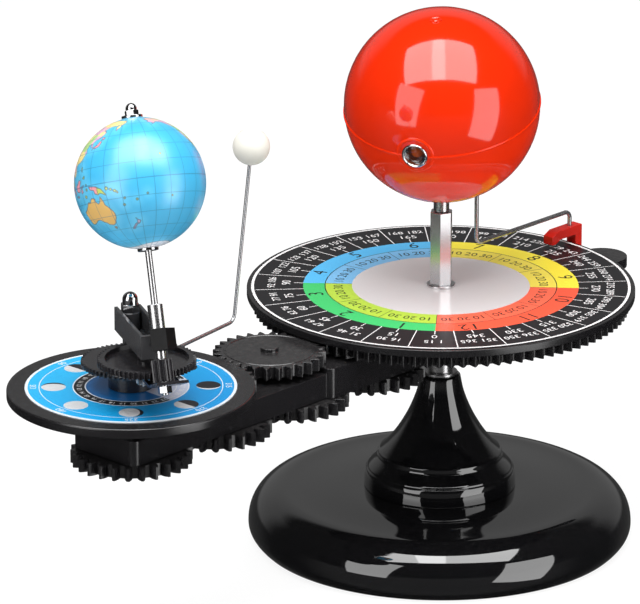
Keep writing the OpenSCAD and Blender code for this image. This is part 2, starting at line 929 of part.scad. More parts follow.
module lens_ring() {
    color("silver")
        at_sun()
            rotate([0, 90, 0])
                difference() {
                    union() {
                        translate([0, 0, sun_r - 5])
                            cylinder(r = lens_ring_r - 0.7, h = 5);
                        translate([0, 0, sun_r - 0.8])
                            cylinder(r = lens_ring_r, h = 1.8);
                    }
                    translate([0, 0, sun_r - 5 - through])
                        cylinder(r = lens_r, h = 7 + 2 * through);
                }
}

module sun_lens() {
    color([0.85, 0.9, 0.95])
        at_sun()
            rotate([0, 90, 0])
                translate([0, 0, sun_r - 4.6])
                    intersection() {
                        cylinder(r = lens_r - snug, h = 4);
                        translate([0, 0, 3.6 - 2 * lens_r])
                            sphere(2 * lens_r);
                    }
}

// Gears on the arm

module chain_gear(k) {
    color([0.07, 0.07, 0.08])
        translate([-k * chain_step, 0, chain_z])
            gear(chain_module, chain_teeth, chain_form, chain_turn(k), chain_h, pin_r + running);
}

module chain_gear_a() {
    chain_gear(1);
}

module chain_gear_b() {
    chain_gear(2);
}

module chain_gear_c() {
    chain_gear(3);
}

module top_idler() {
    color([0.07, 0.07, 0.08])
        translate([top_idler_at[0], top_idler_at[1], upper_z])
            gear(upper_module, top_idler_teeth, upper_form, top_idler_turn, upper_h, pin_r + running);
}

module hidden_idler() {
    color([0.07, 0.07, 0.08])
        translate([hidden_idler_at[0], hidden_idler_at[1], upper_z])
            gear(upper_module, hidden_idler_teeth, upper_form, hidden_idler_turn, upper_h, pin_r + running);
}

// Moon

module moon_sleeve() {
    low = arm_top + gap;
    color([0.08, 0.08, 0.09])
        translate([-reach, 0, 0])
            difference() {
                union() {
                    translate([0, 0, low])
                        cylinder(r = sleeve_r, h = month_top - low);
                    translate([0, 0, upper_z - gap])
                        linear_extrude(upper_h + 2 * gap)
                            polygon(gear_points(upper_module, sleeve_teeth, upper_form, sleeve_turn));
                    translate([0, 0, hub_z])
                        cylinder(r = hub_r, h = hub_h);
                }
                translate([0, 0, low - through])
                    cylinder(r = shaft_r + running, h = month_top - low + 2 * through);
                translate([0, 0, moon_wire_z])
                    rotate([0, 0, moon_azimuth])
                        rotate([0, 90, 0])
                            translate([0, 0, shaft_r + 1.5])
                                cylinder(r = moon_wire_r + snug, h = hub_r);
            }
}

module month_gear() {
    color([0.1, 0.1, 0.11])
        translate([-reach, 0, hub_top])
            difference() {
                gear(fine_module, month_teeth, fine_form, 0, month_t, sleeve_r + snug);
                translate([-18, 2, -through])
                    cylinder(r = 1.3, h = month_t + 2 * through);
            }
}

module moon_wire() {
    lean = atan2(moon_orbit_r - moon_bend_r, moon_rise);
    bend = 5;
    turn = 90 - lean;
    tangent = bend * tan(turn / 2);
    start = shaft_r + 1.7;
    leg = sqrt(pow(moon_orbit_r - moon_bend_r, 2) + pow(moon_rise, 2)) - tangent - moon_r + 6;
    color("silver")
        translate([-reach, 0, moon_wire_z])
            rotate([0, 0, moon_azimuth]) {
                translate([start, 0, 0])
                    rotate([0, 90, 0])
                        cylinder(r = moon_wire_r, h = moon_bend_r - tangent + bend_lap - start, $fn = 32);
                translate([moon_bend_r - tangent, 0, 0])
                    wire_bend_up(moon_wire_r, bend, turn);
                translate([moon_bend_r, 0, 0])
                    rotate([0, lean, 0])
                        translate([0, 0, tangent - bend_lap])
                            cylinder(r = moon_wire_r, h = leg + bend_lap, $fn = 32);
            }
}

module moon_ball() {
    lean = atan2(moon_orbit_r - moon_bend_r, moon_rise);
    color([0.93, 0.92, 0.88])
        translate([-reach, 0, moon_wire_z])
            rotate([0, 0, moon_azimuth])
                translate([moon_orbit_r, 0, moon_rise])
                    difference() {
                        sphere(moon_r);
                        rotate([0, lean, 0])
                            translate([0, 0, -moon_r - through])
                                cylinder(r = moon_wire_r + snug, h = 6.5 + through, $fn = 32);
                    }
}

// Earth stage

module stage_gear() {
    color([0.07, 0.07, 0.08])
        translate([-reach, 0, chain_z])
            gear(chain_module, chain_teeth, chain_form, chain_turn(4), chain_h, shaft_r + snug);
}

module central_shaft() {
    low = chain_z - gap;
    color("silver")
        translate([-reach, 0, 0]) {
            translate([0, 0, low])
                cylinder(r = shaft_r, h = bracket_top + 4 - low);
            translate([0, 0, low - pin_head_t])
                cylinder(r = pin_head_r, h = pin_head_t + gap);
            translate([0, 0, month_top + gap])
                cylinder(r = shaft_r + 2, h = stage_z - month_top - gap);
        }
}

// Point on the stage plate's tilted tab, in the stage's upright plane: a station on the Earth's shaft and
// a distance out from it
function tab_point(station, out) =
    [earth_foot - station * sin(earth_tilt) + out * cos(earth_tilt),
     relay_top + station * cos(earth_tilt) + out * sin(earth_tilt)];
// How far out from the shaft the tab's face at a station meets a level
function tab_meets(station, level) = (level - relay_top - station * cos(earth_tilt)) / sin(earth_tilt);

module stage_plate() {
    low = tab_top_s - tab_t;
    color([0.08, 0.08, 0.09])
        difference() {
            at_stage() {
                translate([0, stage_right, 0])
                    rotate([90, 0, 0])
                        linear_extrude(stage_left + stage_right)
                            polygon([[0, stage_z], tab_point(low, tab_meets(low, stage_z)),
                                     tab_point(low, tab_out), tab_point(tab_top_s, tab_out),
                                     tab_point(tab_top_s, tab_meets(tab_top_s, stage_top)), [0, stage_top]]);
                translate([0, 0, stage_z])
                    cylinder(r = stage_end_r, h = stage_t);
            }
            at_stage() {
                translate([0, 0, stage_z - through])
                    cylinder(r = shaft_r + snug, h = stage_t + 2 * through);
                translate([relay_at, 0, stage_z - through])
                    cylinder(r = fine_shaft_r + running, h = stage_t + 2 * through);
            }
            at_earth_shaft(low - through)
                cylinder(r = earth_shaft_r + running, h = tab_t + 2 * through);
        }
}

module tilt_bracket() {
    back = -5.5;
    color([0.16, 0.16, 0.17])
        at_stage()
            difference() {
                union() {
                    translate([0, 0, stage_top])
                        cylinder(r = boss_r, h = bracket_z - stage_top + 0.5);
                    translate([0, 0, bracket_z])
                        cylinder(r = cheek_at - cheek_t / 2, h = bracket_h - 1.5);
                    for (side = [-1, 1])
                        translate([back, side * cheek_at - cheek_t / 2, bracket_z])
                            cube([front_wall - back, cheek_t, bracket_h]);
                    translate([back, -cheek_at, bracket_z])
                        cube([front_wall - back, 2 * cheek_at, 2]);
                    translate([front_wall - front_wall_t, -cheek_at, bracket_z])
                        cube([front_wall_t, 2 * cheek_at, bracket_h]);
                }
                translate([0, 0, stage_top - through])
                    cylinder(r = shaft_r + snug, h = 60);
                translate([front_wall - front_wall_t - through, 0, spigot_z])
                    rotate([0, 90, 0])
                        cylinder(r = spigot_r + snug, h = front_wall_t + 2 * through);
            }
}

module bracket_nut() {
    color("silver")
        translate([-reach, 0, bracket_top - 1.5])
            difference() {
                dome_nut(9, 4.5, 11);
                translate([0, 0, -through])
                    cylinder(r = shaft_r + snug, h = 5.5 + through + snug);
            }
}

module bearing_block() {
    color([0.07, 0.07, 0.08]) {
        difference() {
            union() {
                at_earth_shaft(block_low_s)
                    translate([0, block_out, 0])
                        rotate([0, 0, 45])
                            translate([-block_w / 2, -block_w / 2, 0])
                                cube([block_w, block_w, block_h]);
                at_stage()
                    translate([front_wall - front_wall_t, 0, spigot_z])
                        rotate([0, 90, 0])
                            cylinder(r = spigot_r, h = spigot_l);
            }
            at_earth_shaft(block_low_s - through)
                cylinder(r = earth_shaft_r + running, h = block_h + 2 * through);
        }
    }
}

module shaft_tube() {
    bush_s = pinion_top_s + gap;
    color("silver") {
        at_earth_shaft(block_low_s + block_h)
            tube(tube_r, earth_shaft_r + running, tube_h);
        at_earth_shaft(bush_s)
            tube(lower_bush_r, earth_shaft_r + running, block_low_s - bush_s);
    }
}

// Relay gear and Earth

module relay_gear() {
    web_t = 1.5;
    rim = relay_tip_r - 4;
    color([0.08, 0.08, 0.09])
        at_stage()
            translate([relay_at, 0, 0]) {
                translate([0, 0, relay_z])
                    difference() {
                        linear_extrude(relay_rim_t)
                            polygon(gear_points(fine_module, relay_teeth, fine_form, relay_turn));
                        translate([0, 0, web_t])
                            cylinder(r = rim, h = relay_rim_t);
                    }
                translate([0, 0, stage_top + gap])
                    cylinder(r = 5, h = relay_z - stage_top - gap + web_t + 1.2);
                translate([0, 0, hub_top + gap])
                    cylinder(r = fine_shaft_r, h = relay_z - hub_top);
            }
}

module relay_pinion() {
    color([0.8, 0.65, 0.3])
        at_stage()
            translate([relay_at, 0, hub_top])
                gear(fine_module, relay_pinion_teeth, fine_form, relay_pinion_turn, stage_z - gap - hub_top,
                     fine_shaft_r + snug);
}

module earth_shaft() {
    low = tab_top_s - tab_t - gap - nut_h - 1;
    color("silver")
        at_earth_shaft(low)
            cylinder(r = earth_shaft_r, h = cap_s + cap_bore - gap - low);
}

module earth_pinion() {
    turn = mesh_turn(0, relay_turn, relay_teeth, earth_pinion_teeth);
    face = pinion_top_s - pinion_low_s;
    color([0.12, 0.12, 0.13])
        at_earth_shaft(pinion_low_s)
            gear(fine_module, earth_pinion_teeth, fine_form, turn, face, earth_shaft_r + snug);
}

module earth_washers() {
    color("silver")
        for (station = [earth_up - earth_r - earth_washer_t + earth_seat, earth_up + earth_r - earth_seat])
            at_earth_shaft(station)
                tube(earth_washer_r, earth_shaft_r + snug, earth_washer_t);
}

module earth_nuts() {
    color("silver") {
        at_earth_shaft(tab_top_s - tab_t - gap - nut_h)
            difference() {
                hex_bar(6.6, nut_h);
                translate([0, 0, -through])
                    cylinder(r = earth_shaft_r + snug, h = nut_h + 2 * through);
            }
        at_earth_shaft(cap_s)
            difference() {
                dome_nut(6.6, 2.6, cap_h);
                translate([0, 0, -through])
                    cylinder(r = earth_shaft_r + snug, h = cap_bore + through);
            }
    }
}

// Half of the Earth, standing on the equator, with a flat seat for the washer at its pole
module globe_half() {
    difference() {
        sphere(earth_r);
        sphere(earth_r - earth_wall);
        translate([-2 * earth_r, -2 * earth_r, -4 * earth_r])
            cube(4 * earth_r);
        translate([0, 0, earth_r - earth_seat])
            cylinder(r = 2 * earth_washer_r, h = 5);
        cylinder(r = earth_shaft_r + snug, h = 2 * earth_r);
    }
}

module globe_south() {
    color([0.15, 0.5, 0.8])
        at_earth_shaft(earth_up)
            mirror([0, 0, 1])
                globe_half();
}

module globe_north() {
    color([0.15, 0.5, 0.8])
        at_earth_shaft(earth_up)
            globe_half();
}

base_shell();
base_cover();
base_screws();
base_weight();
battery_tray();
battery_cells();
battery_door();
switch_body();
switch_slider();
pedestal();
main_post();
post_nut();
post_washers();
post_collar();
center_gear();
calendar_disc();
calendar_label();
hex_post();
lamp_neck();
lamp_socket();
lamp_bulb();
arm_housing();
arm_cover();
arm_screws();
arm_bushes();
axle_pins();
plate_pillars();
phase_plate();
phase_label();
date_pointer();
sun_wire();
sun_upper_shell();
sun_lower_shell();
sun_bearing();
lens_ring();
sun_lens();
chain_gear_a();
chain_gear_b();
chain_gear_c();
top_idler();
hidden_idler();
moon_sleeve();
month_gear();
moon_wire();
moon_ball();
stage_gear();
central_shaft();
stage_plate();
tilt_bracket();
bracket_nut();
bearing_block();
shaft_tube();
relay_gear();
relay_pinion();
earth_shaft();
earth_pinion();
earth_washers();
earth_nuts();
globe_south();
globe_north();
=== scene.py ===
"""Looks of a geared teaching tellurion: a lit Sun globe, a tilted Earth and a Moon over a calendar dial.

Each sub-assembly is a class that builds its meshes and dresses them, and each finish is a frozen dataclass
that paints one material. Sizes are in millimetres unless a name says otherwise.
"""

import json
import logging
import math
from collections.abc import Iterable, Iterator, Sequence
from dataclasses import dataclass, replace
from enum import Enum
from functools import cache

import bmesh
import bpy
import numpy as np
from mathutils import Matrix, Vector

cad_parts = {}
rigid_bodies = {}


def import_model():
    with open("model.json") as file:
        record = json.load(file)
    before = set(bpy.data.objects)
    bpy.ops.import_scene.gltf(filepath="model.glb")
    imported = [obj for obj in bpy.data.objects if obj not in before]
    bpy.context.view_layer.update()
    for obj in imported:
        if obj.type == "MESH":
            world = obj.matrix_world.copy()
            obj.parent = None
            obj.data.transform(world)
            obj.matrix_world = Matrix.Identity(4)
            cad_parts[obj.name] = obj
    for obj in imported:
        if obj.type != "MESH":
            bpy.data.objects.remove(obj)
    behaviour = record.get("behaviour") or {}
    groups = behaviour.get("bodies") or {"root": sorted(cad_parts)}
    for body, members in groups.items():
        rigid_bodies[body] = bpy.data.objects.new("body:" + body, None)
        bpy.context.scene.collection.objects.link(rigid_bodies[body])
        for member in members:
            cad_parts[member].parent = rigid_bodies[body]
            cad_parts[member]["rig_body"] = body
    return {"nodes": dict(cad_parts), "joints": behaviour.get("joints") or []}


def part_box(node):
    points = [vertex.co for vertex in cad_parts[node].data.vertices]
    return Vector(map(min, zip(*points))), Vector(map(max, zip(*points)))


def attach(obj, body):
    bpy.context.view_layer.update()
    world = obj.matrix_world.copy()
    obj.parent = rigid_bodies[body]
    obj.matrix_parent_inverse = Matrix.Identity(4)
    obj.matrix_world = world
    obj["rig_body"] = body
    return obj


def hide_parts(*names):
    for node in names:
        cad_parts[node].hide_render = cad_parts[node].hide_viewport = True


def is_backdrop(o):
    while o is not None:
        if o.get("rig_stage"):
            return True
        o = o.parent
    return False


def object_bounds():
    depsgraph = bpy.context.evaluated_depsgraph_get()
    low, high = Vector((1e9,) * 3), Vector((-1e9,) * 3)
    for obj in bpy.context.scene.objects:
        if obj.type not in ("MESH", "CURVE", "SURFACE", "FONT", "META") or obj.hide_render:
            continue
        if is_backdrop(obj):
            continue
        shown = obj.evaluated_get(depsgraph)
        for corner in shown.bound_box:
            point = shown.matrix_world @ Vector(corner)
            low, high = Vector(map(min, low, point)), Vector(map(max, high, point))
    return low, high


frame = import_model()

LOG = logging.getLogger("tellurion")
MM = 0.001
TAU = 2 * math.pi
MERGE_M = 2e-6
BUMP_M = 0.0002
FLAT_DEG = 0.8
KEEN_DEG = 32.0
MONTHS = 12

Rgb = tuple[int, int, int]
Point = tuple[float, float]
Socket = bpy.types.NodeSocket
Value = float | Sequence[float] | Socket


def linear(colour: Rgb) -> tuple[float, float, float, float]:
    """Scene-linear colour of a display colour given as 0 to 255.

    Args:
        colour: Red, green and blue as a screen shows them.

    Returns:
        The same colour as four scene-linear values.
    """
    parts = [c / 255 for c in colour]
    bent = [p / 12.92 if p <= 0.04045 else ((p + 0.055) / 1.055) ** 2.4 for p in parts]
    return (bent[0], bent[1], bent[2], 1.0)


class Graph:
    """Adds and links the nodes of one shader tree."""

    def __init__(self, tree: bpy.types.NodeTree) -> None:
        """Works on the given tree."""
        self.tree = tree

    def feed(self, socket: Socket, value: Value) -> None:
        """Links a socket to another, or sets its plain value.

        Args:
            socket: Socket to feed.
            value: Socket to link it to, or its plain value.
        """
        if isinstance(value, bpy.types.NodeSocket):
            self.tree.links.new(value, socket)
        else:
            socket.default_value = value

    def add(self, kind: str, inputs: dict[str | int, Value] | None = None,
            **settings: object) -> bpy.types.Node:
        """Adds one node.

        Args:
            kind: Shader node type without its ShaderNode prefix.
            inputs: Values or sockets for the node's inputs.
            settings: Properties set on the node.

        Returns:
            The new node.
        """
        node = self.tree.nodes.new(f"ShaderNode{kind}")
        for name, value in settings.items():
            setattr(node, name, value)
        for name, value in (inputs or {}).items():
            self.feed(node.inputs[name], value)
        return node

    def calc(self, operation: str, a: Value, b: Value = 0.0, c: Value = 0.0) -> Socket:
        """Result of one maths node."""
        return self.add("Math", {0: a, 1: b, 2: c}, operation=operation).outputs[0]

    def within(self, value: Value, low: float, high: float) -> Socket:
        """Mask that is 1 where a value lies between two limits."""
        over = self.calc("GREATER_THAN", value, low)
        return self.calc("MULTIPLY", over, self.calc("LESS_THAN", value, high))

    def near(self, value: Value, step: float, offset: float) -> Socket:
        """Distance from a value to the nearest of a row of evenly spaced ones.

        Args:
            value: Value to measure.
            step: Space between the row's values.
            offset: One value of the row.

        Returns:
            The distance.
        """
        half = step / 2
        folded = self.calc("WRAP", self.calc("SUBTRACT", value, offset), half, -half)
        return self.calc("ABSOLUTE", folded)

    def around(self, value: Value, at: float, half: float) -> Socket:
        """Mask that is 1 where a value is close to another."""
        return self.calc("LESS_THAN", self.calc("ABSOLUTE", self.calc("SUBTRACT", value, at)), half)

    def ramp(self, value: Value, low: float, high: float) -> Socket:
        """Smooth climb from 0 to 1 between two values."""
        node = self.add("MapRange", {0: value, 1: low, 2: high}, interpolation_type="SMOOTHSTEP")
        return node.outputs[0]

    def mix(self, factor: Value, low: Value, high: Value) -> Socket:
        """Colour between two colours."""
        return self.add("Mix", {0: factor, 6: low, 7: high}, data_type="RGBA").outputs[2]

    def place(self) -> Socket:
        """The piece's own object coordinates, in metres."""
        return self.add("TexCoord").outputs["Object"]

    def noise(self, scale: Value, detail: float, vector: Socket | None = None) -> Socket:
        """Noise value over the piece, with its scale per metre."""
        where = vector or self.place()
        return self.add("TexNoise", {"Vector": where, "Scale": scale, "Detail": detail}).outputs[0]

    def use(self, effect: bpy.types.NodeTree, **inputs: Value) -> bpy.types.Node:
        """Places a shared effect with this material's own values."""
        named = {name.replace("_", " "): value for name, value in inputs.items()}
        return self.add("Group", named, node_tree=effect)

    def emboss(self, shader: bpy.types.Node, height: Socket, strength: float) -> None:
        """Raises the shader's surface by a height."""
        bump = self.add("Bump", {"Strength": strength, "Distance": BUMP_M, "Height": height})
        self.feed(shader.inputs["Normal"], bump.outputs[0])


class Effects:
    """Shader node groups that several materials share."""

    @staticmethod
    def _tree(name: str, inputs: Sequence[str],
              outputs: Sequence[str]) -> tuple[Graph, dict[str, Socket], bpy.types.Node]:
        """Starts a node group.

        Args:
            name: Name of the group.
            inputs: Names of its number inputs.
            outputs: Names of its number outputs.

        Returns:
            The group's graph, its input sockets by name and its output node.
        """
        tree = bpy.data.node_groups.new(name, "ShaderNodeTree")
        for label in inputs:
            tree.interface.new_socket(label, in_out="INPUT", socket_type="NodeSocketFloat")
        for label in outputs:
            tree.interface.new_socket(label, in_out="OUTPUT", socket_type="NodeSocketFloat")
        entry = tree.nodes.new("NodeGroupInput")
        leave = tree.nodes.new("NodeGroupOutput")
        return Graph(tree), {label: entry.outputs[label] for label in inputs}, leave

    @staticmethod
    @cache
    def moulded_skin() -> bpy.types.NodeTree:
        """Fine moulding grain with cloudy handling marks, as a roughness and a height.

        Returns:
            The node group, made once.
        """
        graph, given, leave = Effects._tree("moulded_skin", ["Roughness", "Spread", "Grain"],
                                            ["Roughness", "Height"])
        grain = graph.noise(given["Grain"], 4.0)
        cloud = graph.noise(26.0, 5.0)
        blend = graph.calc("ADD", graph.calc("MULTIPLY", grain, 0.4), graph.calc("MULTIPLY", cloud, 0.6))
        swing = graph.calc("MULTIPLY", graph.calc("SUBTRACT", blend, 0.5), given["Spread"])
        graph.feed(leave.inputs["Roughness"], graph.calc("ADD", given["Roughness"], swing))
        graph.feed(leave.inputs["Height"], grain)
        return graph.tree

    @staticmethod
    @cache
    def settled_dust() -> bpy.types.NodeTree:
        """Thin dust on faces that look up, as a mask.

        Returns:
            The node group, made once.
        """
        graph, given, leave = Effects._tree("settled_dust", ["Amount"], ["Mask"])
        normal = graph.add("NewGeometry").outputs["Normal"]
        up = graph.calc("MAXIMUM", graph.add("SeparateXYZ", {0: normal}).outputs[2], 0.0)
        speck = graph.calc("POWER", graph.noise(420.0, 6.0), 2.5)
        film = graph.calc("MULTIPLY", up, speck)
        graph.feed(leave.inputs["Mask"], graph.calc("MULTIPLY", film, given["Amount"]))
        return graph.tree

    @staticmethod
    @cache
    def turned_lines() -> bpy.types.NodeTree:
        """Fine lines left by turning along a shaft, as a roughness and a height.

        Returns:
            The node group, made once.
        """
        graph, given, leave = Effects._tree("turned_lines", ["Roughness", "Spread"], ["Roughness", "Height"])
        across, along = 140.0, 5200.0
        stretched = graph.add("Mapping", {"Vector": graph.place(), "Scale": (across, across, along)})
        line = graph.noise(1.0, 3.0, stretched.outputs[0])
        swing = graph.calc("MULTIPLY", graph.calc("SUBTRACT", line, 0.5), given["Spread"])
        graph.feed(leave.inputs["Roughness"], graph.calc("ADD", given["Roughness"], swing))
        graph.feed(leave.inputs["Height"], line)
        return graph.tree

    @staticmethod
    @cache
    def dial_polar() -> bpy.types.NodeTree:
        """Distance in millimetres and direction in degrees from a dial's middle.

        Returns:
            The node group, made once.
        """
        graph, given, leave = Effects._tree("dial_polar", ["Middle X", "Middle Y"], ["Radius", "Angle"])
        parts = graph.add("SeparateXYZ", {0: graph.place()})
        x = graph.calc("SUBTRACT", parts.outputs[0], given["Middle X"])
        y = graph.calc("SUBTRACT", parts.outputs[1], given["Middle Y"])
        square = graph.calc("MULTIPLY_ADD", x, x, graph.calc("MULTIPLY", y, y))
        graph.feed(leave.inputs["Radius"], graph.calc("DIVIDE", graph.calc("SQRT", square), MM))
        graph.feed(leave.inputs["Angle"], graph.calc("DEGREES", graph.calc("ARCTAN2", y, x)))
        return graph.tree


@dataclass(frozen=True)
class Plastic:
    """Moulded plastic: a colour with grain, handling marks and a little dust."""

    name: str
    colour: Rgb
    roughness: float
    spread: float = 0.08
    grain: float = 1500.0
    relief: float = 0.02
    mottle: float = 0.12
    dust: float = 0.0
    dust_tone: Rgb = (176, 172, 168)
    coat: float = 0.0
    coat_roughness: float = 0.04
    shine: float = 0.5

    def paint(self, graph: Graph, shader: bpy.types.Node) -> None:
        """Paints the shader's surface.

        Args:
            graph: Graph of the material.
            shader: Shader that gets the finish.
        """
        skin = graph.use(Effects.moulded_skin(), Roughness=self.roughness, Spread=self.spread,
                         Grain=self.grain)
        plain = linear(self.colour)
        deep = tuple(c * (1 - self.mottle) for c in plain[:3]) + (1.0,)
        pale = tuple(min(1.0, c * (1 + self.mottle)) for c in plain[:3]) + (1.0,)
        tone = graph.mix(graph.noise(38.0, 4.0), deep, pale)
        film = graph.use(Effects.settled_dust(), Amount=self.dust)
        tone = graph.mix(film.outputs["Mask"], tone, linear(self.dust_tone))
        graph.feed(shader.inputs["Base Color"], tone)
        graph.feed(shader.inputs["Roughness"], skin.outputs["Roughness"])
        graph.emboss(shader, skin.outputs["Height"], self.relief)
        shader.inputs["Specular IOR Level"].default_value = self.shine
        shader.inputs["Coat Weight"].default_value = self.coat
        shader.inputs["Coat Roughness"].default_value = self.coat_roughness


@dataclass(frozen=True)
class Metal:
    """Plated or turned metal with fine lines."""

    name: str
    colour: Rgb
    roughness: float
    spread: float = 0.08
    relief: float = 0.015
    mirror: float = 1.0
    dulling: float = 0.82

    def paint(self, graph: Graph, shader: bpy.types.Node) -> None:
        """Paints the shader's surface.

        Args:
            graph: Graph of the material.
            shader: Shader that gets the finish.
        """
        lines = graph.use(Effects.turned_lines(), Roughness=self.roughness, Spread=self.spread)
        plain = linear(self.colour)
        dull = tuple(c * self.dulling for c in plain[:3]) + (1.0,)
        graph.feed(shader.inputs["Base Color"], graph.mix(graph.noise(60.0, 4.0), dull, plain))
        graph.feed(shader.inputs["Roughness"], lines.outputs["Roughness"])
        graph.emboss(shader, lines.outputs["Height"], self.relief)
        shader.inputs["Metallic"].default_value = self.mirror


@dataclass(frozen=True)
class Glass:
    """Clear glass with faint waviness that lets most of the light through."""

    name: str
    colour: Rgb
    clearest: Rgb = (250, 250, 250)
    relief: float = 0.02
    roughness: float = 0.03
    refraction: float = 1.49
    light_through: float = 0.9

    def paint(self, graph: Graph, shader: bpy.types.Node) -> None:
        """Paints the shader's surface.

        Args:
            graph: Graph of the material.
            shader: Shader that gets the finish.
        """
        wave = graph.noise(180.0, 2.0)
        tone = graph.mix(wave, linear(self.colour), linear(self.clearest))
        graph.feed(shader.inputs["Base Color"], tone)
        graph.emboss(shader, wave, self.relief)
        shaded = graph.add("LightPath").outputs["Is Shadow Ray"]
        graph.feed(shader.inputs["Alpha"], graph.calc("MULTIPLY_ADD", shaded, -self.light_through, 1.0))
        shader.inputs["Roughness"].default_value = self.roughness
        shader.inputs["Transmission Weight"].default_value = 1.0
        shader.inputs["IOR"].default_value = self.refraction


class Season(Enum):
    """Quarters of the calendar, with the direction of each quarter's middle in degrees."""

    RED = -95.0
    YELLOW = -5.0
    BLUE = 85.0
    GREEN = 175.0


SEASON_TONES: dict[Season, tuple[Rgb, Rgb]] = {
    Season.RED: ((243, 88, 58), (248, 104, 74)),
    Season.YELLOW: ((247, 232, 62), (240, 224, 84)),
    Season.BLUE: ((84, 186, 240), (122, 190, 236)),
    Season.GREEN: ((62, 196, 108), (178, 212, 66)),
}


@dataclass(frozen=True)
class CalendarPrint:
    """Printed calendar film: silver middle, month and season rings, and a black ring of cells."""

    name: str = "calendar_print"
    silver_r: float = 49.9
    month_r: float = 65.0
    season_r: float = 77.3
    cell_r: float = 104.2
    white_low_r: float = 104.9
    white_high_r: float = 106.4
    line: float = 0.28
    spoke_share: float = 0.7
    cells: int = 24
    tick_reach: float = 5.4
    mid_cell: float = -140.0
    black: Rgb = (22, 21, 24)
    white: Rgb = (238, 238, 238)
    line_tone: Rgb = (30, 40, 26)
    silver_low: Rgb = (224, 222, 223)
    silver_high: Rgb = (234, 232, 232)
    roughness: float = 0.34
    silver_gloss: float = 0.16
    silver_mirror: float = 0.2

    def paint(self, graph: Graph, shader: bpy.types.Node) -> None:
        """Paints the shader's surface.

        Args:
            graph: Graph of the material.
            shader: Shader that gets the finish.
        """
        polar = graph.use(Effects.dial_polar(), Middle_X=0.0, Middle_Y=0.0)
        radius, angle = polar.outputs["Radius"], polar.outputs["Angle"]
        tone = self._seasons(graph, radius, angle)
        silver = graph.mix(graph.noise(24.0, 5.0), linear(self.silver_low), linear(self.silver_high))
        tone = graph.mix(graph.calc("GREATER_THAN", radius, self.silver_r), silver, tone)
        tone = graph.mix(self._dark_lines(graph, radius, angle), tone, linear(self.line_tone))
        tone = graph.mix(graph.calc("GREATER_THAN", radius, self.season_r), tone, linear(self.black))
        tone = graph.mix(self._white_lines(graph, radius, angle), tone, linear(self.white))
        graph.feed(shader.inputs["Base Color"], tone)
        skin = graph.use(Effects.moulded_skin(), Roughness=self.roughness, Spread=0.08, Grain=1800.0)
        bright = graph.calc("LESS_THAN", radius, self.silver_r)
        gloss = graph.calc("MULTIPLY_ADD", bright, -self.silver_gloss, skin.outputs["Roughness"])
        graph.feed(shader.inputs["Roughness"], gloss)
        graph.feed(shader.inputs["Metallic"], graph.calc("MULTIPLY", bright, self.silver_mirror))
        graph.emboss(shader, skin.outputs["Height"], 0.02)

    def _seasons(self, graph: Graph, radius: Socket, angle: Socket) -> Socket:
        """Colours of the month and season rings.

        Args:
            graph: Graph of the material.
            radius: Distance from the dial's middle.
            angle: Direction from the dial's middle, in degrees.

        Returns:
            The rings' colour.
        """
        outer = graph.calc("GREATER_THAN", radius, self.month_r)
        tone: Value = linear((128, 128, 128))
        for season, (ring, month) in SEASON_TONES.items():
            turn = graph.calc("WRAP", graph.calc("SUBTRACT", angle, season.value), 180.0, -180.0)
            quarter = graph.calc("LESS_THAN", graph.calc("ABSOLUTE", turn), 45.0)
            tone = graph.mix(quarter, tone, graph.mix(outer, linear(month), linear(ring)))
        return tone

    def _dark_lines(self, graph: Graph, radius: Socket, angle: Socket) -> Socket:
        """Thin dark line round the months and between them.

        Args:
            graph: Graph of the material.
            radius: Distance from the dial's middle.
            angle: Direction from the dial's middle, in degrees.

        Returns:
            Mask of the lines.
        """
        circle = graph.around(radius, self.month_r, self.line)
        arc = graph.calc("RADIANS", radius)
        across = graph.calc("MULTIPLY", graph.near(angle, 360.0 / MONTHS, self.mid_cell), arc)
        spoke = graph.calc("LESS_THAN", across, self.spoke_share * self.line)
        spoke = graph.calc("MULTIPLY", spoke, graph.within(radius, self.silver_r, self.month_r))
        return graph.calc("MAXIMUM", circle, spoke)

    def _white_lines(self, graph: Graph, radius: Socket, angle: Socket) -> Socket:
        """Dividers, half ticks and the rim ring of the black cells.

        Args:
            graph: Graph of the material.
            radius: Distance from the dial's middle.
            angle: Direction from the dial's middle, in degrees.

        Returns:
            Mask of the lines.
        """
        step = 360.0 / self.cells
        arc = graph.calc("RADIANS", radius)
        divider = graph.calc("MULTIPLY", graph.near(angle, step, self.mid_cell + step / 2), arc)
        divider = graph.calc("MULTIPLY", graph.calc("LESS_THAN", divider, self.line),
                             graph.within(radius, self.season_r, self.cell_r))
        tick = graph.calc("MULTIPLY", graph.near(angle, step, self.mid_cell), arc)
        tick = graph.calc("MULTIPLY", graph.calc("LESS_THAN", tick, self.line),
                          graph.within(radius, self.season_r, self.season_r + self.tick_reach))
        rim = graph.within(radius, self.white_low_r, self.white_high_r)
        return graph.calc("MAXIMUM", graph.calc("MAXIMUM", divider, tick), rim)


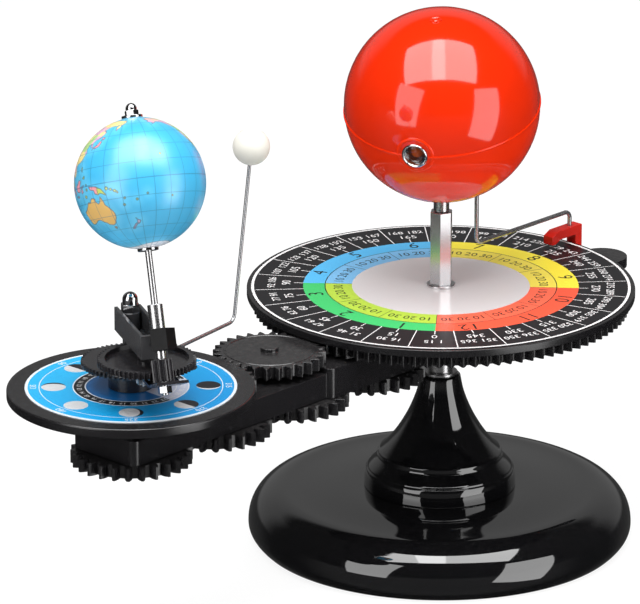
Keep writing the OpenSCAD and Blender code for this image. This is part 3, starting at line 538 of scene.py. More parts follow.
@dataclass(frozen=True)
class PhasePrint:
    """Printed blue film with eight moon phases round a dark ring, its blue darkened toward one side by
    painted shade.
    """

    name: str
    middle_x: float
    middle_y: float
    rim_r: float
    moon_at: float = 41.5
    moon_r: float = 6.6
    moons: int = 8
    thin_ring: float = 0.865
    dark_low: float = 0.43
    dark_high: float = 0.545
    sector_at: float = -58.0
    sector_half: float = 34.0
    rim_ring: float = 0.972
    thin_half: float = 0.004
    dark_half: float = 0.006
    # Direction in degrees where the painted shade on the blue is deepest.
    painted_shade_at: float = -75.0
    white: Rgb = (226, 232, 238)
    black: Rgb = (20, 20, 24)
    blue: Rgb = (36, 176, 232)
    # Darker blue of the painted shade on one side of the plate.
    painted_shade_blue: Rgb = (8, 146, 214)
    middle_blue: Rgb = (26, 108, 176)
    sector_tone: Rgb = (196, 204, 224)
    moon_dark: Rgb = (28, 28, 34)
    moon_lit: Rgb = (206, 208, 210)

    def paint(self, graph: Graph, shader: bpy.types.Node) -> None:
        """Paints the shader's surface.

        Args:
            graph: Graph of the material.
            shader: Shader that gets the finish.
        """
        polar = graph.use(Effects.dial_polar(), Middle_X=self.middle_x, Middle_Y=self.middle_y)
        radius, angle = polar.outputs["Radius"], polar.outputs["Angle"]
        share = graph.calc("DIVIDE", radius, self.rim_r)
        # Painted shade: the blue darkens smoothly toward one side of the plate.
        turned = graph.calc("RADIANS", graph.calc("SUBTRACT", angle, self.painted_shade_at))
        deep = graph.calc("MULTIPLY_ADD", graph.calc("COSINE", turned), 0.5, 0.5)
        tone = graph.mix(deep, linear(self.blue), linear(self.painted_shade_blue))
        inner = graph.calc("LESS_THAN", share, self.dark_high)
        tone = graph.mix(inner, tone, linear(self.black))
        tone = graph.mix(graph.calc("LESS_THAN", share, self.dark_low), tone, linear(self.middle_blue))
        sector = graph.calc("LESS_THAN", graph.near(angle, 360.0, self.sector_at), self.sector_half)
        tone = graph.mix(graph.calc("MULTIPLY", sector, inner), tone, linear(self.sector_tone))
        tone = graph.mix(self._rings(graph, share), tone, linear(self.white))
        disc, lit = self._phases(graph, radius, angle)
        tone = graph.mix(disc, tone, graph.mix(lit, linear(self.moon_dark), linear(self.moon_lit)))
        graph.feed(shader.inputs["Base Color"], tone)
        skin = graph.use(Effects.moulded_skin(), Roughness=0.3, Spread=0.08, Grain=1800.0)
        graph.feed(shader.inputs["Roughness"], skin.outputs["Roughness"])
        graph.emboss(shader, skin.outputs["Height"], 0.02)

    def _rings(self, graph: Graph, share: Socket) -> Socket:
        """White rings at the rim, inside it and round the dark ring.

        Args:
            graph: Graph of the material.
            share: Distance from the middle as a share of the rim's.

        Returns:
            Mask of the rings.
        """
        total = graph.calc("GREATER_THAN", share, self.rim_ring)
        for at, half in ((self.thin_ring, self.thin_half), (self.dark_low, self.dark_half),
                         (self.dark_high, self.dark_half)):
            total = graph.calc("MAXIMUM", total, graph.around(share, at, half))
        return total

    def _phases(self, graph: Graph, radius: Socket, angle: Socket) -> tuple[Socket, Socket]:
        """Masks of the moon discs and of their lit parts, dark toward the Sun and full away from it.

        Args:
            graph: Graph of the material.
            radius: Distance from the dial's middle.
            angle: Direction from the dial's middle, in degrees.

        Returns:
            The discs' mask and the lit parts' mask.
        """
        step = 360.0 / self.moons
        spot = graph.calc("MULTIPLY", graph.calc("ROUND", graph.calc("DIVIDE", angle, step)), step)
        aside = graph.calc("RADIANS", graph.calc("SUBTRACT", angle, spot))
        outward = graph.calc("MULTIPLY", radius, graph.calc("COSINE", aside))
        out = graph.calc("SUBTRACT", outward, self.moon_at)
        side = graph.calc("MULTIPLY", radius, graph.calc("SINE", aside))
        v = graph.calc("DIVIDE", out, self.moon_r)
        u = graph.calc("DIVIDE", side, self.moon_r)
        v2 = graph.calc("MULTIPLY", v, v)
        disc = graph.calc("LESS_THAN", graph.calc("MULTIPLY_ADD", u, u, v2), 1.0)
        turn = graph.calc("RADIANS", spot)
        edge = graph.calc("SQRT", graph.calc("MAXIMUM", graph.calc("SUBTRACT", 1.0, v2), 0.0))
        limit = graph.calc("MULTIPLY", graph.calc("COSINE", turn), edge)
        half = graph.calc("SIGN", graph.calc("ADD", graph.calc("SINE", turn), 0.001))
        lit = graph.calc("GREATER_THAN", graph.calc("MULTIPLY", u, half), limit)
        return disc, lit


@dataclass(frozen=True)
class GlobePrint:
    """Printed map: pale sea with a grid of meridians, and pastel land inside the shore line."""

    name: str
    middle: tuple[float, float, float]
    turn: tuple[float, float, float]
    grid_step: float = 15.0
    grid_half: float = 0.3
    shore_line: float = 0.45
    shore_ink: float = 0.6
    raggedness: float = 1.6
    grid_ink: float = 0.55
    equator_share: float = 1.6
    shore_tone: Rgb = (58, 74, 92)
    grid_tone: Rgb = (28, 96, 140)
    sea_low: Rgb = (54, 168, 216)
    sea_high: Rgb = (68, 182, 226)
    shallow: Rgb = (120, 212, 244)
    polar: Rgb = (150, 222, 246)
    pastels: tuple[Rgb, ...] = ((238, 190, 178), (246, 226, 150), (178, 214, 140), (222, 176, 204))
    pastel_limits: tuple[float, ...] = (0.5, 0.62, 0.72)

    def paint(self, graph: Graph, shader: bpy.types.Node) -> None:
        """Paints the shader's surface.

        Args:
            graph: Graph of the material.
            shader: Shader that gets the finish.
        """
        here = graph.add("Mapping", {"Vector": graph.place(), "Location": self.middle, "Rotation": self.turn},
                         vector_type="TEXTURE").outputs[0]
        unit = graph.add("VectorMath", {0: here}, operation="NORMALIZE").outputs[0]
        parts = graph.add("SeparateXYZ", {0: unit})
        north = graph.calc("DEGREES", graph.calc("ARCSINE", parts.outputs[2]))
        east = graph.calc("DEGREES", graph.calc("ARCTAN2", parts.outputs[1], parts.outputs[0]))
        shore = graph.add("Attribute", attribute_name=EarthGlobe.SHORE).outputs["Fac"]
        jitter = graph.calc("SUBTRACT", graph.noise(420.0, 4.0), 0.5)
        ragged = graph.calc("MULTIPLY_ADD", jitter, self.raggedness, shore)
        dry = graph.calc("GREATER_THAN", ragged, 0.0)
        tone = graph.mix(dry, self._sea(graph, ragged, north), self._land(graph))
        outline = graph.around(ragged, 0.0, self.shore_line)
        tone = graph.mix(graph.calc("MULTIPLY", outline, self.shore_ink), tone, linear(self.shore_tone))
        tone = graph.mix(self._grid(graph, north, east), tone, linear(self.grid_tone))
        graph.feed(shader.inputs["Base Color"], tone)
        skin = graph.use(Effects.moulded_skin(), Roughness=0.3, Spread=0.03, Grain=900.0)
        shader.inputs["Specular IOR Level"].default_value = 0.9
        shader.inputs["Coat Weight"].default_value = 0.5
        shader.inputs["Coat Roughness"].default_value = 0.38
        graph.feed(shader.inputs["Roughness"], skin.outputs["Roughness"])
        graph.emboss(shader, skin.outputs["Height"], 0.03)

    def _grid(self, graph: Graph, north: Socket, east: Socket) -> Socket:
        """Meridians and parallels, with a bolder equator.

        Args:
            graph: Graph of the material.
            north: Latitude in degrees.
            east: Longitude in degrees.

        Returns:
            Strength of the grid's ink.
        """
        shrink = graph.calc("COSINE", graph.calc("RADIANS", north))
        meridian = graph.calc("MULTIPLY", graph.near(east, self.grid_step, 0.0), shrink)
        parallel = graph.near(north, self.grid_step, 0.0)
        lines = graph.calc("LESS_THAN", graph.calc("MINIMUM", meridian, parallel), self.grid_half)
        equator = graph.around(north, 0.0, self.equator_share * self.grid_half)
        return graph.calc("MULTIPLY", graph.calc("MAXIMUM", lines, equator), self.grid_ink)

    def _sea(self, graph: Graph, shore: Socket, north: Socket) -> Socket:
        """Sea that pales toward the coasts and the poles.

        Args:
            graph: Graph of the material.
            shore: Distance inside the coast, in degrees.
            north: Latitude in degrees.

        Returns:
            The sea's colour.
        """
        tone = graph.mix(graph.noise(30.0, 5.0), linear(self.sea_low), linear(self.sea_high))
        coastal = graph.calc("MULTIPLY", graph.ramp(shore, -9.0, 0.0), 0.35)
        tone = graph.mix(coastal, tone, linear(self.shallow))
        cold = graph.add("MapRange", {0: graph.calc("ABSOLUTE", north), 1: 55.0, 2: 85.0, 3: 0.0, 4: 0.5})
        return graph.mix(cold.outputs[0], tone, linear(self.polar))

    def _land(self, graph: Graph) -> Socket:
        """Land in flat pastel patches, with the patchwork's strength in the tint's alpha.

        Args:
            graph: Graph of the material.

        Returns:
            The land's colour.
        """
        tint = graph.add("Attribute", attribute_name=EarthGlobe.TINT)
        patch = graph.add("TexVoronoi", {"Vector": graph.place(), "Scale": 120.0})
        hue = graph.add("SeparateColor", {0: patch.outputs["Color"]})
        pale: Value = linear(self.pastels[0])
        for channel, limit, pastel in zip(hue.outputs, self.pastel_limits, self.pastels[1:]):
            pale = graph.mix(graph.calc("GREATER_THAN", channel, limit), pale, linear(pastel))
        return graph.mix(tint.outputs["Alpha"], tint.outputs["Color"], pale)


Finish = Plastic | Metal | Glass | CalendarPrint | PhasePrint | GlobePrint

GLOSS_BLACK = Plastic("gloss_black", (9, 9, 11), 0.045, spread=0.03, grain=600.0, relief=0.003, dust=0.03,
                      shine=0.9, coat=0.8)
SATIN_BLACK = Plastic("satin_black", (26, 25, 27), 0.22, spread=0.16, relief=0.05, dust=0.1, shine=0.8)
DIAL_BLACK = Plastic("dial_black", (22, 21, 23), 0.24, spread=0.16, relief=0.05, dust=0.08, shine=0.7)
GEAR_BLACK = Plastic("gear_black", (27, 26, 28), 0.24, spread=0.18, relief=0.06, dust=0.16, shine=0.9)
CHARCOAL = Plastic("charcoal", (34, 33, 36), 0.17, spread=0.12, relief=0.05, dust=0.1, shine=0.8)
BRACKET_GREY = Plastic("bracket_grey", (66, 66, 68), 0.17, spread=0.1, relief=0.05, dust=0.08, shine=0.9)
BLOCK_BLACK = Plastic("block_black", (15, 15, 16), 0.3, spread=0.1, relief=0.05, dust=0.05, shine=0.2)
SUN_ORANGE = Plastic("sun_orange", (214, 40, 5), 0.11, spread=0.05, grain=700.0, relief=0.01, mottle=0.05,
                     coat=0.65, shine=0.45)
# Painted light: the lower shell is a lighter copy of the Sun's orange that lifts the shade underneath; it
# also has less coat and shine.
SUN_UNDER_PAINTED_LIGHT = replace(SUN_ORANGE, name="sun_under_painted_light", colour=(228, 45, 5), coat=0.22, shine=0.3)
POINTER_RED = Plastic("pointer_red", (196, 30, 18), 0.26, spread=0.1, relief=0.03)
MOON_WHITE = Plastic("moon_white", (219, 216, 206), 0.48, spread=0.1, grain=900.0, relief=0.05, mottle=0.03)
PALE_PLASTIC = Plastic("pale_plastic", (214, 210, 202), 0.4, relief=0.04)
AMBER = Plastic("amber", (238, 96, 20), 0.2, relief=0.02)
CELL_WRAP = Plastic("cell_wrap", (50, 104, 74), 0.3, relief=0.02)
WHITE_INK = Plastic("white_ink", (232, 232, 232), 0.45, grain=2500.0, relief=0.02, mottle=0.04)
DARK_INK = Plastic("dark_ink", (26, 34, 24), 0.45, grain=2500.0, relief=0.02, mottle=0.04)
CHROME = Metal("chrome", (222, 222, 224), 0.12, spread=0.06, relief=0.006)
WIRE_STEEL = Metal("wire_steel", (186, 186, 188), 0.24, spread=0.12, mirror=0.85)
SATIN_STEEL = Metal("satin_steel", (226, 225, 226), 0.27, spread=0.1)
POST_STEEL = Metal("post_steel", (206, 206, 208), 0.2, spread=0.1, mirror=0.8)
STEEL = Metal("turned_steel", (190, 190, 192), 0.28, spread=0.12)
BRASS = Metal("brass", (212, 178, 96), 0.26, spread=0.1)
IRON = Metal("cast_iron", (96, 96, 98), 0.55, spread=0.2, relief=0.1)
CLEAR_GLASS = Glass("clear_glass", (228, 236, 240))


@cache
def material_of(finish: Finish) -> bpy.types.Material:
    """Material of a finish, made once.

    Args:
        finish: What to paint.

    Returns:
        The painted material.
    """
    material = bpy.data.materials.new(finish.name)
    material.use_nodes = True
    material.node_tree.nodes.clear()
    graph = Graph(material.node_tree)
    shader = graph.add("BsdfPrincipled")
    graph.add("OutputMaterial", {"Surface": shader.outputs[0]})
    finish.paint(graph, shader)
    return material


def body_of(node: str) -> str:
    """Body that a CAD node rides on."""
    return frame["nodes"][node]["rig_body"]


def coat(node: str, finish: Finish) -> None:
    """Gives a CAD node that keeps its own mesh a finish.

    Args:
        node: CAD node to coat.
        finish: Its finish.
    """
    shown = frame["nodes"][node]
    if not shown.material_slots:
        shown.data.materials.append(None)
    for slot in shown.material_slots:
        slot.material = material_of(finish)
    LOG.info("coated %s with %s", node, finish.name)


def place(bm: bmesh.types.BMesh, name: str, finish: Finish, body: str,
          nodes: Sequence[str] = (), sharp: float = 40.0, even: bool = False) -> bpy.types.Object:
    """Turns a mesh into a finished piece that rides on a body.

    Args:
        bm: Mesh in place, in metres. It is freed.
        name: Name of the piece.
        finish: Its finish.
        body: Body that carries it.
        nodes: CAD nodes that it stands for.
        sharp: Angle in degrees past which an edge stays hard.
        even: Whether flat faces keep flat shading beside rounded edges.

    Returns:
        The piece.
    """
    mesh = bpy.data.meshes.new(name)
    bm.to_mesh(mesh)
    bm.free()
    mesh.materials.append(material_of(finish))
    mesh.shade_smooth()
    mesh.set_sharp_from_angle(angle=math.radians(sharp))
    piece = bpy.data.objects.new(name, mesh)
    bpy.context.scene.collection.objects.link(piece)
    if even:
        normals = piece.modifiers.new("even_normals", "WEIGHTED_NORMAL")
        normals.keep_sharp = True
    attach(piece, body)
    if nodes:
        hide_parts(*nodes)
    LOG.info("placed %s: %d faces", name, len(mesh.polygons))
    return piece


def softened(node: str, width: float, segments: int) -> bmesh.types.BMesh:
    """Merged copy of a CAD node with its sharp edges rounded.

    Args:
        node: CAD node to copy.
        width: Width of the rounding.
        segments: Steps across the rounding.

    Returns:
        The new mesh.
    """
    bm = bmesh.new()
    bm.from_mesh(frame["nodes"][node].data)
    bmesh.ops.remove_doubles(bm, verts=bm.verts, dist=MERGE_M)
    bmesh.ops.dissolve_limit(bm, angle_limit=math.radians(FLAT_DEG), verts=bm.verts, edges=bm.edges)
    limit = math.radians(KEEN_DEG)
    edges = [e for e in bm.edges if len(e.link_faces) == 2 and e.calc_face_angle(0.0) > limit]
    bmesh.ops.bevel(bm, geom=edges, offset=width * MM, offset_type="OFFSET", segments=segments, profile=0.5,
                    affect="EDGES", clamp_overlap=True, material=-1)
    return bm


def dress(node: str, finish: Finish, width: float, segments: int = 2) -> None:
    """Replaces a CAD node by a copy with rounded edges and a finish."""
    bm = softened(node, width, segments)
    place(bm, f"{node}_finished", finish, body_of(node), (node,), even=True)


def lathe(profile: Sequence[Point], steps: int, closed: bool = True, turn: float = TAU) -> bmesh.types.BMesh:
    """Turned shape about the Z axis.

    Args:
        profile: Radius and height of each point.
        steps: Steps round the axis.
        closed: Whether the last point joins the first.
        turn: Angle in radians; less than a full turn leaves open ends.

    Returns:
        The new mesh.
    """
    bm = bmesh.new()
    verts = [bm.verts.new((r * MM, 0.0, z * MM)) for r, z in profile]
    pairs = list(zip(verts, verts[1:]))
    if closed:
        pairs.append((verts[-1], verts[0]))
    edges = [bm.edges.new(pair) for pair in pairs]
    bmesh.ops.spin(bm, geom=verts + edges, cent=(0, 0, 0), axis=(0, 0, 1), dvec=(0, 0, 0), angle=turn,
                   steps=steps, use_merge=turn >= TAU)
    bmesh.ops.remove_doubles(bm, verts=bm.verts, dist=MERGE_M)
    if turn < TAU:
        bmesh.ops.holes_fill(bm, edges=[e for e in bm.edges if e.is_boundary])
    bmesh.ops.recalc_face_normals(bm, faces=bm.faces)
    return bm


def flowing(points: Sequence[Point], steps: int) -> list[Point]:
    """Smooth line through points.

    Args:
        points: Points that the line passes.
        steps: Steps between two of them.

    Returns:
        The points of the line.
    """
    ends = [points[0], *points, points[-1]]
    line: list[Point] = []
    for a, b, c, d in zip(ends, ends[1:], ends[2:], ends[3:]):
        for i in range(steps):
            t = i / steps
            line.append(tuple(
                0.5 * (2 * q + (r - p) * t + (2 * p - 5 * q + 4 * r - s) * t**2
                       + (3 * q - p - 3 * r + s) * t**3)
                for p, q, r, s in zip(a, b, c, d)))
    return [*line, points[-1]]


def about(axis: str, degrees: float) -> Matrix:
    """Turn about an axis through the origin."""
    return Matrix.Rotation(math.radians(degrees), 4, axis)


def move(bm: bmesh.types.BMesh, matrix: Matrix) -> bmesh.types.BMesh:
    """Moves a mesh by a matrix."""
    bmesh.ops.transform(bm, matrix=matrix, verts=bm.verts)
    return bm


def shifted(x: float, y: float, z: float) -> Matrix:
    """Translation by millimetres."""
    return Matrix.Translation((x * MM, y * MM, z * MM))


def joined(*shapes: bmesh.types.BMesh) -> bmesh.types.BMesh:
    """One mesh that holds several.

    Args:
        shapes: Meshes to join. They are freed.

    Returns:
        The new mesh.
    """
    whole = bmesh.new()
    for shape in shapes:
        held = bpy.data.meshes.new("held")
        shape.to_mesh(held)
        shape.free()
        whole.from_mesh(held)
        bpy.data.meshes.remove(held)
    return whole


def millimetres(node: str) -> tuple[Vector, Vector]:
    """Lowest and highest corner of a CAD node."""
    low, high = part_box(node)
    return low / MM, high / MM


@dataclass(frozen=True)
class Numeral:
    """A printed number on a dial, with its top away from the middle."""

    text: str
    radius: float
    angle: float
    height: float


@dataclass
class NumberRing:
    """Numbers printed on one dial, as thin film."""

    middle: Point
    top: float
    film: float = 0.02
    cap_share: float = 0.7

    def mesh(self, numerals: Iterable[Numeral]) -> bmesh.types.BMesh:
        """Mesh of all the numbers, lying on the dial.

        Args:
            numerals: Numbers to print.

        Returns:
            The new mesh.
        """
        bm = bmesh.new()
        for numeral in numerals:
            letters = self._letters(numeral)
            way = math.radians(numeral.angle)
            x = self.middle[0] + numeral.radius * math.cos(way)
            y = self.middle[1] + numeral.radius * math.sin(way)
            letters.transform(shifted(x, y, self.top) @ Matrix.Rotation(way - math.pi / 2, 4, "Z"))
            bm.from_mesh(letters)
            bpy.data.meshes.remove(letters)
        return bm

    def _letters(self, numeral: Numeral) -> bpy.types.Mesh:
        """Flat letters about the origin.

        Args:
            numeral: Number to print.

        Returns:
            The new mesh.
        """
        curve = bpy.data.curves.new("numeral", "FONT")
        curve.body = numeral.text
        curve.size = numeral.height * MM / self.cap_share
        curve.align_x = "CENTER"
        curve.align_y = "CENTER"
        curve.extrude = self.film * MM / 2
        curve.resolution_u = 3
        holder = bpy.data.objects.new("numeral", curve)
        mesh = bpy.data.meshes.new_from_object(holder)
        bpy.data.objects.remove(holder)
        bpy.data.curves.remove(curve)
        return mesh


@dataclass
class Stand:
    """Glossy base, bell pedestal and the bright post."""

    foot_in: float = 5.0
    foot_z: float = 8.7
    foot_steps: int = 6
    shoulder_in: float = 22.5
    shoulder_power: float = 0.885
    shoulder_steps: int = 36
    crown: float = 1.5
    crown_steps: int = 16
    flat_out: float = 4.0
    wall: float = 3.0
    bell_wall: float = 2.4
    bell_line: tuple[Point, ...] = (
        (42.95, 0.8), (42.7, 5.0), (42.1, 9.2), (40.7, 11.8), (36.2, 16.4), (35.3, 17.8), (35.0, 20.2),
        (33.6, 21.2), (29.6, 25.4), (24.7, 31.8), (19.8, 40.0), (16.2, 47.6), (13.2, 56.0), (11.5, 64.0))
    bell_steps: int = 14
    foot_roll: tuple[Point, ...] = ((0.4, 0.0), (0.1, 0.4))
    neck_roll: tuple[Point, ...] = ((0.2, 0.9), (0.7, 0.3), (1.6, 0.0))
    neck_wall: float = 2.0
    neck_seat: float = 5.0
    groove_at: float = 10.8
    groove: float = 0.35
    groove_width: float = 0.5
    hex_turn: float = -23.0

    def build(self) -> None:
        """Builds and dresses the stand."""
        self._base()
        self._pedestal()
        for node in ("post_washers", "post_collar"):
            dress(node, SATIN_STEEL, 0.3, 3)
        turned = move(softened("hex_post", 0.35, 3), about("Z", self.hex_turn))
        place(turned, "hex_post_finished", POST_STEEL, "stand", ("hex_post",), even=True)
        for node in ("base_cover", "battery_door"):
            dress(node, SATIN_BLACK, 0.3)
        for node in ("battery_tray", "switch_body"):
            coat(node, SATIN_BLACK)
        coat("base_weight", IRON)
        coat("battery_cells", CELL_WRAP)
        dress("switch_slider", PALE_PLASTIC, 0.25)
        dress("base_screws", STEEL, 0.2)
        for node in ("main_post", "post_nut", "lamp_neck"):
            coat(node, STEEL)
        coat("lamp_socket", PALE_PLASTIC)
        coat("lamp_bulb", CLEAR_GLASS)
        dress("center_gear", GEAR_BLACK, 0.3)

    def _base(self) -> None:
        """Domed base with a full shoulder and a slightly crowned top."""
        _, high = millimetres("base_shell")
        foot, _ = millimetres("pedestal")
        hole = millimetres("main_post")[1].x
        flat_r = self.flat_out - foot.x
        skin = self._base_skin(high.x, foot.z, flat_r, hole, 0.0)
        inner = self._base_skin(high.x, foot.z, flat_r, hole, self.wall)
        bm = lathe(skin + inner[::-1], 192)
        place(bm, "base_moulding", GLOSS_BLACK, "stand", ("base_shell",), sharp=35.0)

    def _base_skin(self, radius: float, top: float, flat_r: float, hole: float, inset: float) -> list[Point]:
        """Outline of the base, from the table to the post's hole.

        Args:
            radius: Outer radius.
            top: Height of the top.
            flat_r: Radius of the flat under the pedestal.
            hole: Radius of the hole.
            inset: Depth under the outer face.

        Returns:
            Radius and height of each point.
        """
        height = top - self.crown
        shoulder = radius - self.shoulder_in
        points = []
        for i in range(self.foot_steps + 1):
            t = i / self.foot_steps
            points.append((radius - inset - self.foot_in * (1 - t) ** 2, self.foot_z * t))
        for i in range(1, self.shoulder_steps + 1):
            a = math.pi / 2 * i / self.shoulder_steps
            out = max(math.cos(a), 0.0) ** self.shoulder_power
            up = math.sin(a) ** self.shoulder_power
            points.append((shoulder + (radius - shoulder - inset) * out,
                           self.foot_z + (height - self.foot_z - inset) * up))
        for i in range(1, self.crown_steps + 1):
            t = i / self.crown_steps
            rise = self.crown * t * t * (3 - 2 * t)
            points.append((shoulder + (flat_r - shoulder) * t, height - inset + rise))
        points.append((hole, top - inset))
        return points

    def _pedestal(self) -> None:
        """Bell-shaped pedestal with a band on its shoulder, a fine groove and a rolled neck."""
        low, high = millimetres("pedestal")
        tall = high.z - low.z
        seat = tall - self.neck_seat
        skin = self._bell_skin(high.x, tall)
        hole = millimetres("main_post")[1].x
        inner = [(max(r - self.bell_wall, hole + self.neck_wall), z) for r, z in skin if z < seat]
        profile = skin + [(hole, tall), (hole, seat)] + inner[::-1]
        bm = move(lathe(profile, 160), shifted(0, 0, low.z))
        place(bm, "pedestal_moulding", GLOSS_BLACK, "stand", ("pedestal",), sharp=50.0)

    def _bell_skin(self, foot_r: float, tall: float) -> list[Point]:
        """Outer outline of the bell, from its foot up.

        Args:
            foot_r: Radius of the foot.
            tall: Height of the bell.

        Returns:
            Radius and height of each point.
        """
        points = [(foot_r - back, rise) for back, rise in self.foot_roll]
        for r, z in flowing(self.bell_line, self.bell_steps):
            dip = math.exp(-(((z - self.groove_at) / self.groove_width) ** 2))
            points.append((r - self.groove * dip, z))
        neck = self.bell_line[-1][0]
        return points + [(neck - back, tall - drop) for back, drop in self.neck_roll]


@dataclass
class CalendarDial:
    """Black disc with its ring of teeth, the printed film and its plain numbers."""

    row_radii: Point = (94.8, 86.6)
    row_heights: Point = (4.5, 5.0)
    season_at: float = 71.2
    season_height: float = 8.6
    month_at: float = 57.4
    month_height: float = 5.3
    year_days: int = 365
    month_days: tuple[int, ...] = (10, 20, 30)
    day_gap: float = 9.0

    def build(self) -> None:
        """Builds and dresses the dial."""
        dress("calendar_disc", DIAL_BLACK, 0.45, 3)
        coat("calendar_label", CalendarPrint())
        top = millimetres("calendar_label")[1].z
        ring = NumberRing((0.0, 0.0), top)
        place(ring.mesh(self._cell_numbers()), "cell_numbers", WHITE_INK, "stand")
        place(ring.mesh(self._month_numbers()), "month_numbers", DARK_INK, "stand")

    def _cell_numbers(self) -> list[Numeral]:
        """Two rows of plain numbers in the black cells.

        Returns:
            The numbers.
        """
        layout = CalendarPrint()
        step = 360 / layout.cells
        days = self.year_days / layout.cells
        numerals = []
        for cell in range(layout.cells):
            angle = layout.mid_cell - step * cell
            span = f"{round(1 + cell * days)} {round((cell + 1) * days)}"
            turn = f"{round(step * cell)}"
            for text, radius, height in zip((span, turn), self.row_radii, self.row_heights):
                numerals.append(Numeral(text, radius, angle, height))
        return numerals

    def _month_numbers(self) -> list[Numeral]:
        """Month numbers in the season ring and day numbers in the month ring.

        Returns:
            The numbers.
        """
        step = 360 / MONTHS
        numerals = []
        for month in range(MONTHS):
            middle = CalendarPrint().mid_cell - step * month - step / 2
            numerals.append(Numeral(f"{month + 1}", self.season_at, middle, self.season_height))
            for k, day in enumerate(self.month_days):
                angle = middle + self.day_gap * (1 - k)
                numerals.append(Numeral(f"{day}", self.month_at, angle, self.month_height))
        return numerals


@dataclass
class SunGlobe:
    """Orange globe of two shells with a seam lip, a bright lens eyelet and its drive wire."""

    tilt: float = 14.5
    azimuth: float = -154.0
    wall: float = 2.0
    hole_r: float = 6.62
    hole_cut: float = 0.8
    lip: float = 0.5
    lip_h: float = 1.4
    lip_root: float = 1.0
    lip_gap: float = 0.2
    boss_at: float = 10.0
    boss_half: float = 1.2
    boss_sunk: float = 0.25
    boss_rise: float = 0.7
    boss_steps: int = 8
    pip_r: float = 3.3
    pip_line: tuple[Point, ...] = ((1.0, -0.8), (1.0, 0.1), (0.95, 0.35), (0.8, 0.45), (0.62, 0.05),
                                   (0.45, 0.0), (0.3, 0.35), (0.0, 0.45))
    eyelet_line: tuple[Point, ...] = (
        (6.55, -5.0), (6.55, -0.6), (7.3, -0.6), (7.45, 0.1), (7.3, 0.7), (6.9, 1.0), (6.4, 0.9), (6.0, 0.4),
        (5.7, -0.6), (5.65, -3.0), (5.0, -5.2), (3.9, -7.4), (3.6, -8.2), (4.0, -8.6), (5.3, -6.2))
    bead_line: tuple[Point, ...] = ((3.0, -10.4), (3.0, -5.6), (2.6, -4.2), (1.5, -3.2), (0.0, -2.9),
                                    (0.0, -10.4))

    def build(self) -> None:
        """Builds and dresses the Sun."""
        low, high = millimetres("sun_upper_shell")
        self.radius = (high.y - low.y) / 2
        middle = Vector((0.0, 0.0, high.z - self.radius))
        self.stance = shifted(*middle) @ about("Z", self.azimuth) @ about("Y", self.tilt)
        LOG.info("sun radius %.2f, middle %.2f", self.radius, middle.z)
        upper = move(joined(self._shell(True), self._pip()), self.stance)
        place(upper, "sun_upper", SUN_ORANGE, "arm", ("sun_upper_shell",), sharp=30.0)
        lower = move(joined(self._shell(False), self._lip(), self._boss()), self.stance)
        # The lower half gets the lighter copy of the orange: painted light against the shade underneath.
        place(lower, "sun_lower", SUN_UNDER_PAINTED_LIGHT, "arm", ("sun_lower_shell",), sharp=30.0)
        self._eyelet()
        coat("sun_lens", CLEAR_GLASS)
        dress("sun_bearing", SATIN_STEEL, 0.3, 3)
        coat("sun_wire", WIRE_STEEL)

    def _shell(self, upper: bool) -> bmesh.types.BMesh:
        """One half of the globe, cut at the seam and open at the lens.

        Args:
            upper: Whether it is the upper half.

        Returns:
            The new mesh.
        """
        hole = math.degrees(math.asin(self.hole_r / self.radius))
        rings = round(2 * 180 / hole)
        bm = bmesh.new()
        bmesh.ops.create_uvsphere(bm, u_segments=144, v_segments=rings, radius=self.radius * MM,
                                  matrix=about("Y", 90))
        rim = math.cos(math.radians(hole * self.hole_cut)) * self.radius * MM
        bmesh.ops.delete(bm, geom=[v for v in bm.verts if v.co.x > rim], context="VERTS")
        everything = bm.verts[:] + bm.edges[:] + bm.faces[:]
        bmesh.ops.bisect_plane(bm, geom=everything, dist=MERGE_M, plane_co=(0, 0, 0),
                               plane_no=(0, 0, 1 if upper else -1), clear_inner=True)
        bmesh.ops.solidify(bm, geom=bm.faces[:], thickness=self.wall * MM)
        return bm

    def _lip(self) -> bmesh.types.BMesh:
        """Raised lip under the seam, open at the lens.

        Returns:
            The new mesh.
        """
        r, out, h = self.radius, self.lip, self.lip_h
        root = r - self.lip_root
        profile = [(root, -h), (r + 0.6 * out, -h), (r + out, -0.75 * h), (r + out, -0.25 * h),
                   (r + 0.6 * out, 0.0), (root, 0.0)]
        gap = math.asin((self.hole_r + self.lip_gap) / r)
        return move(lathe(profile, 176, turn=TAU - 2 * gap), Matrix.Rotation(gap, 4, "Z"))

    def _boss(self) -> bmesh.types.BMesh:
        """Low moulded ring round the eyelet.

        Returns:
            The new mesh.
        """
        profile = []
        for i in range(self.boss_steps + 1):
            t = i / self.boss_steps
            way = (self.boss_at + self.boss_half * (2 * t - 1)) / self.radius
            rise = self.radius - self.boss_sunk + self.boss_rise * math.sin(math.pi * t)
            profile.append((rise * math.sin(way), rise * math.cos(way)))
        return move(lathe(profile, 96), about("Y", 90))

    def _pip(self) -> bmesh.types.BMesh:
        """Small moulding pip at the upper pole."""
        profile = [(share * self.pip_r, rise) for share, rise in self.pip_line]
        return move(lathe(profile, 32, closed=False), shifted(0, 0, self.radius))

    def _eyelet(self) -> None:
        """Bright eyelet with a rolled rim and a dished bore, and the lamp's bead in it."""
        lying = self.stance @ about("Y", 90) @ shifted(0, 0, self.radius)
        eyelet = move(lathe(self.eyelet_line, 96), lying)
        place(eyelet, "lens_eyelet", CHROME, "arm", ("lens_ring",))
        bead = move(lathe(self.bead_line, 48), lying)
        place(bead, "lamp_bead", AMBER, "arm", sharp=60.0)


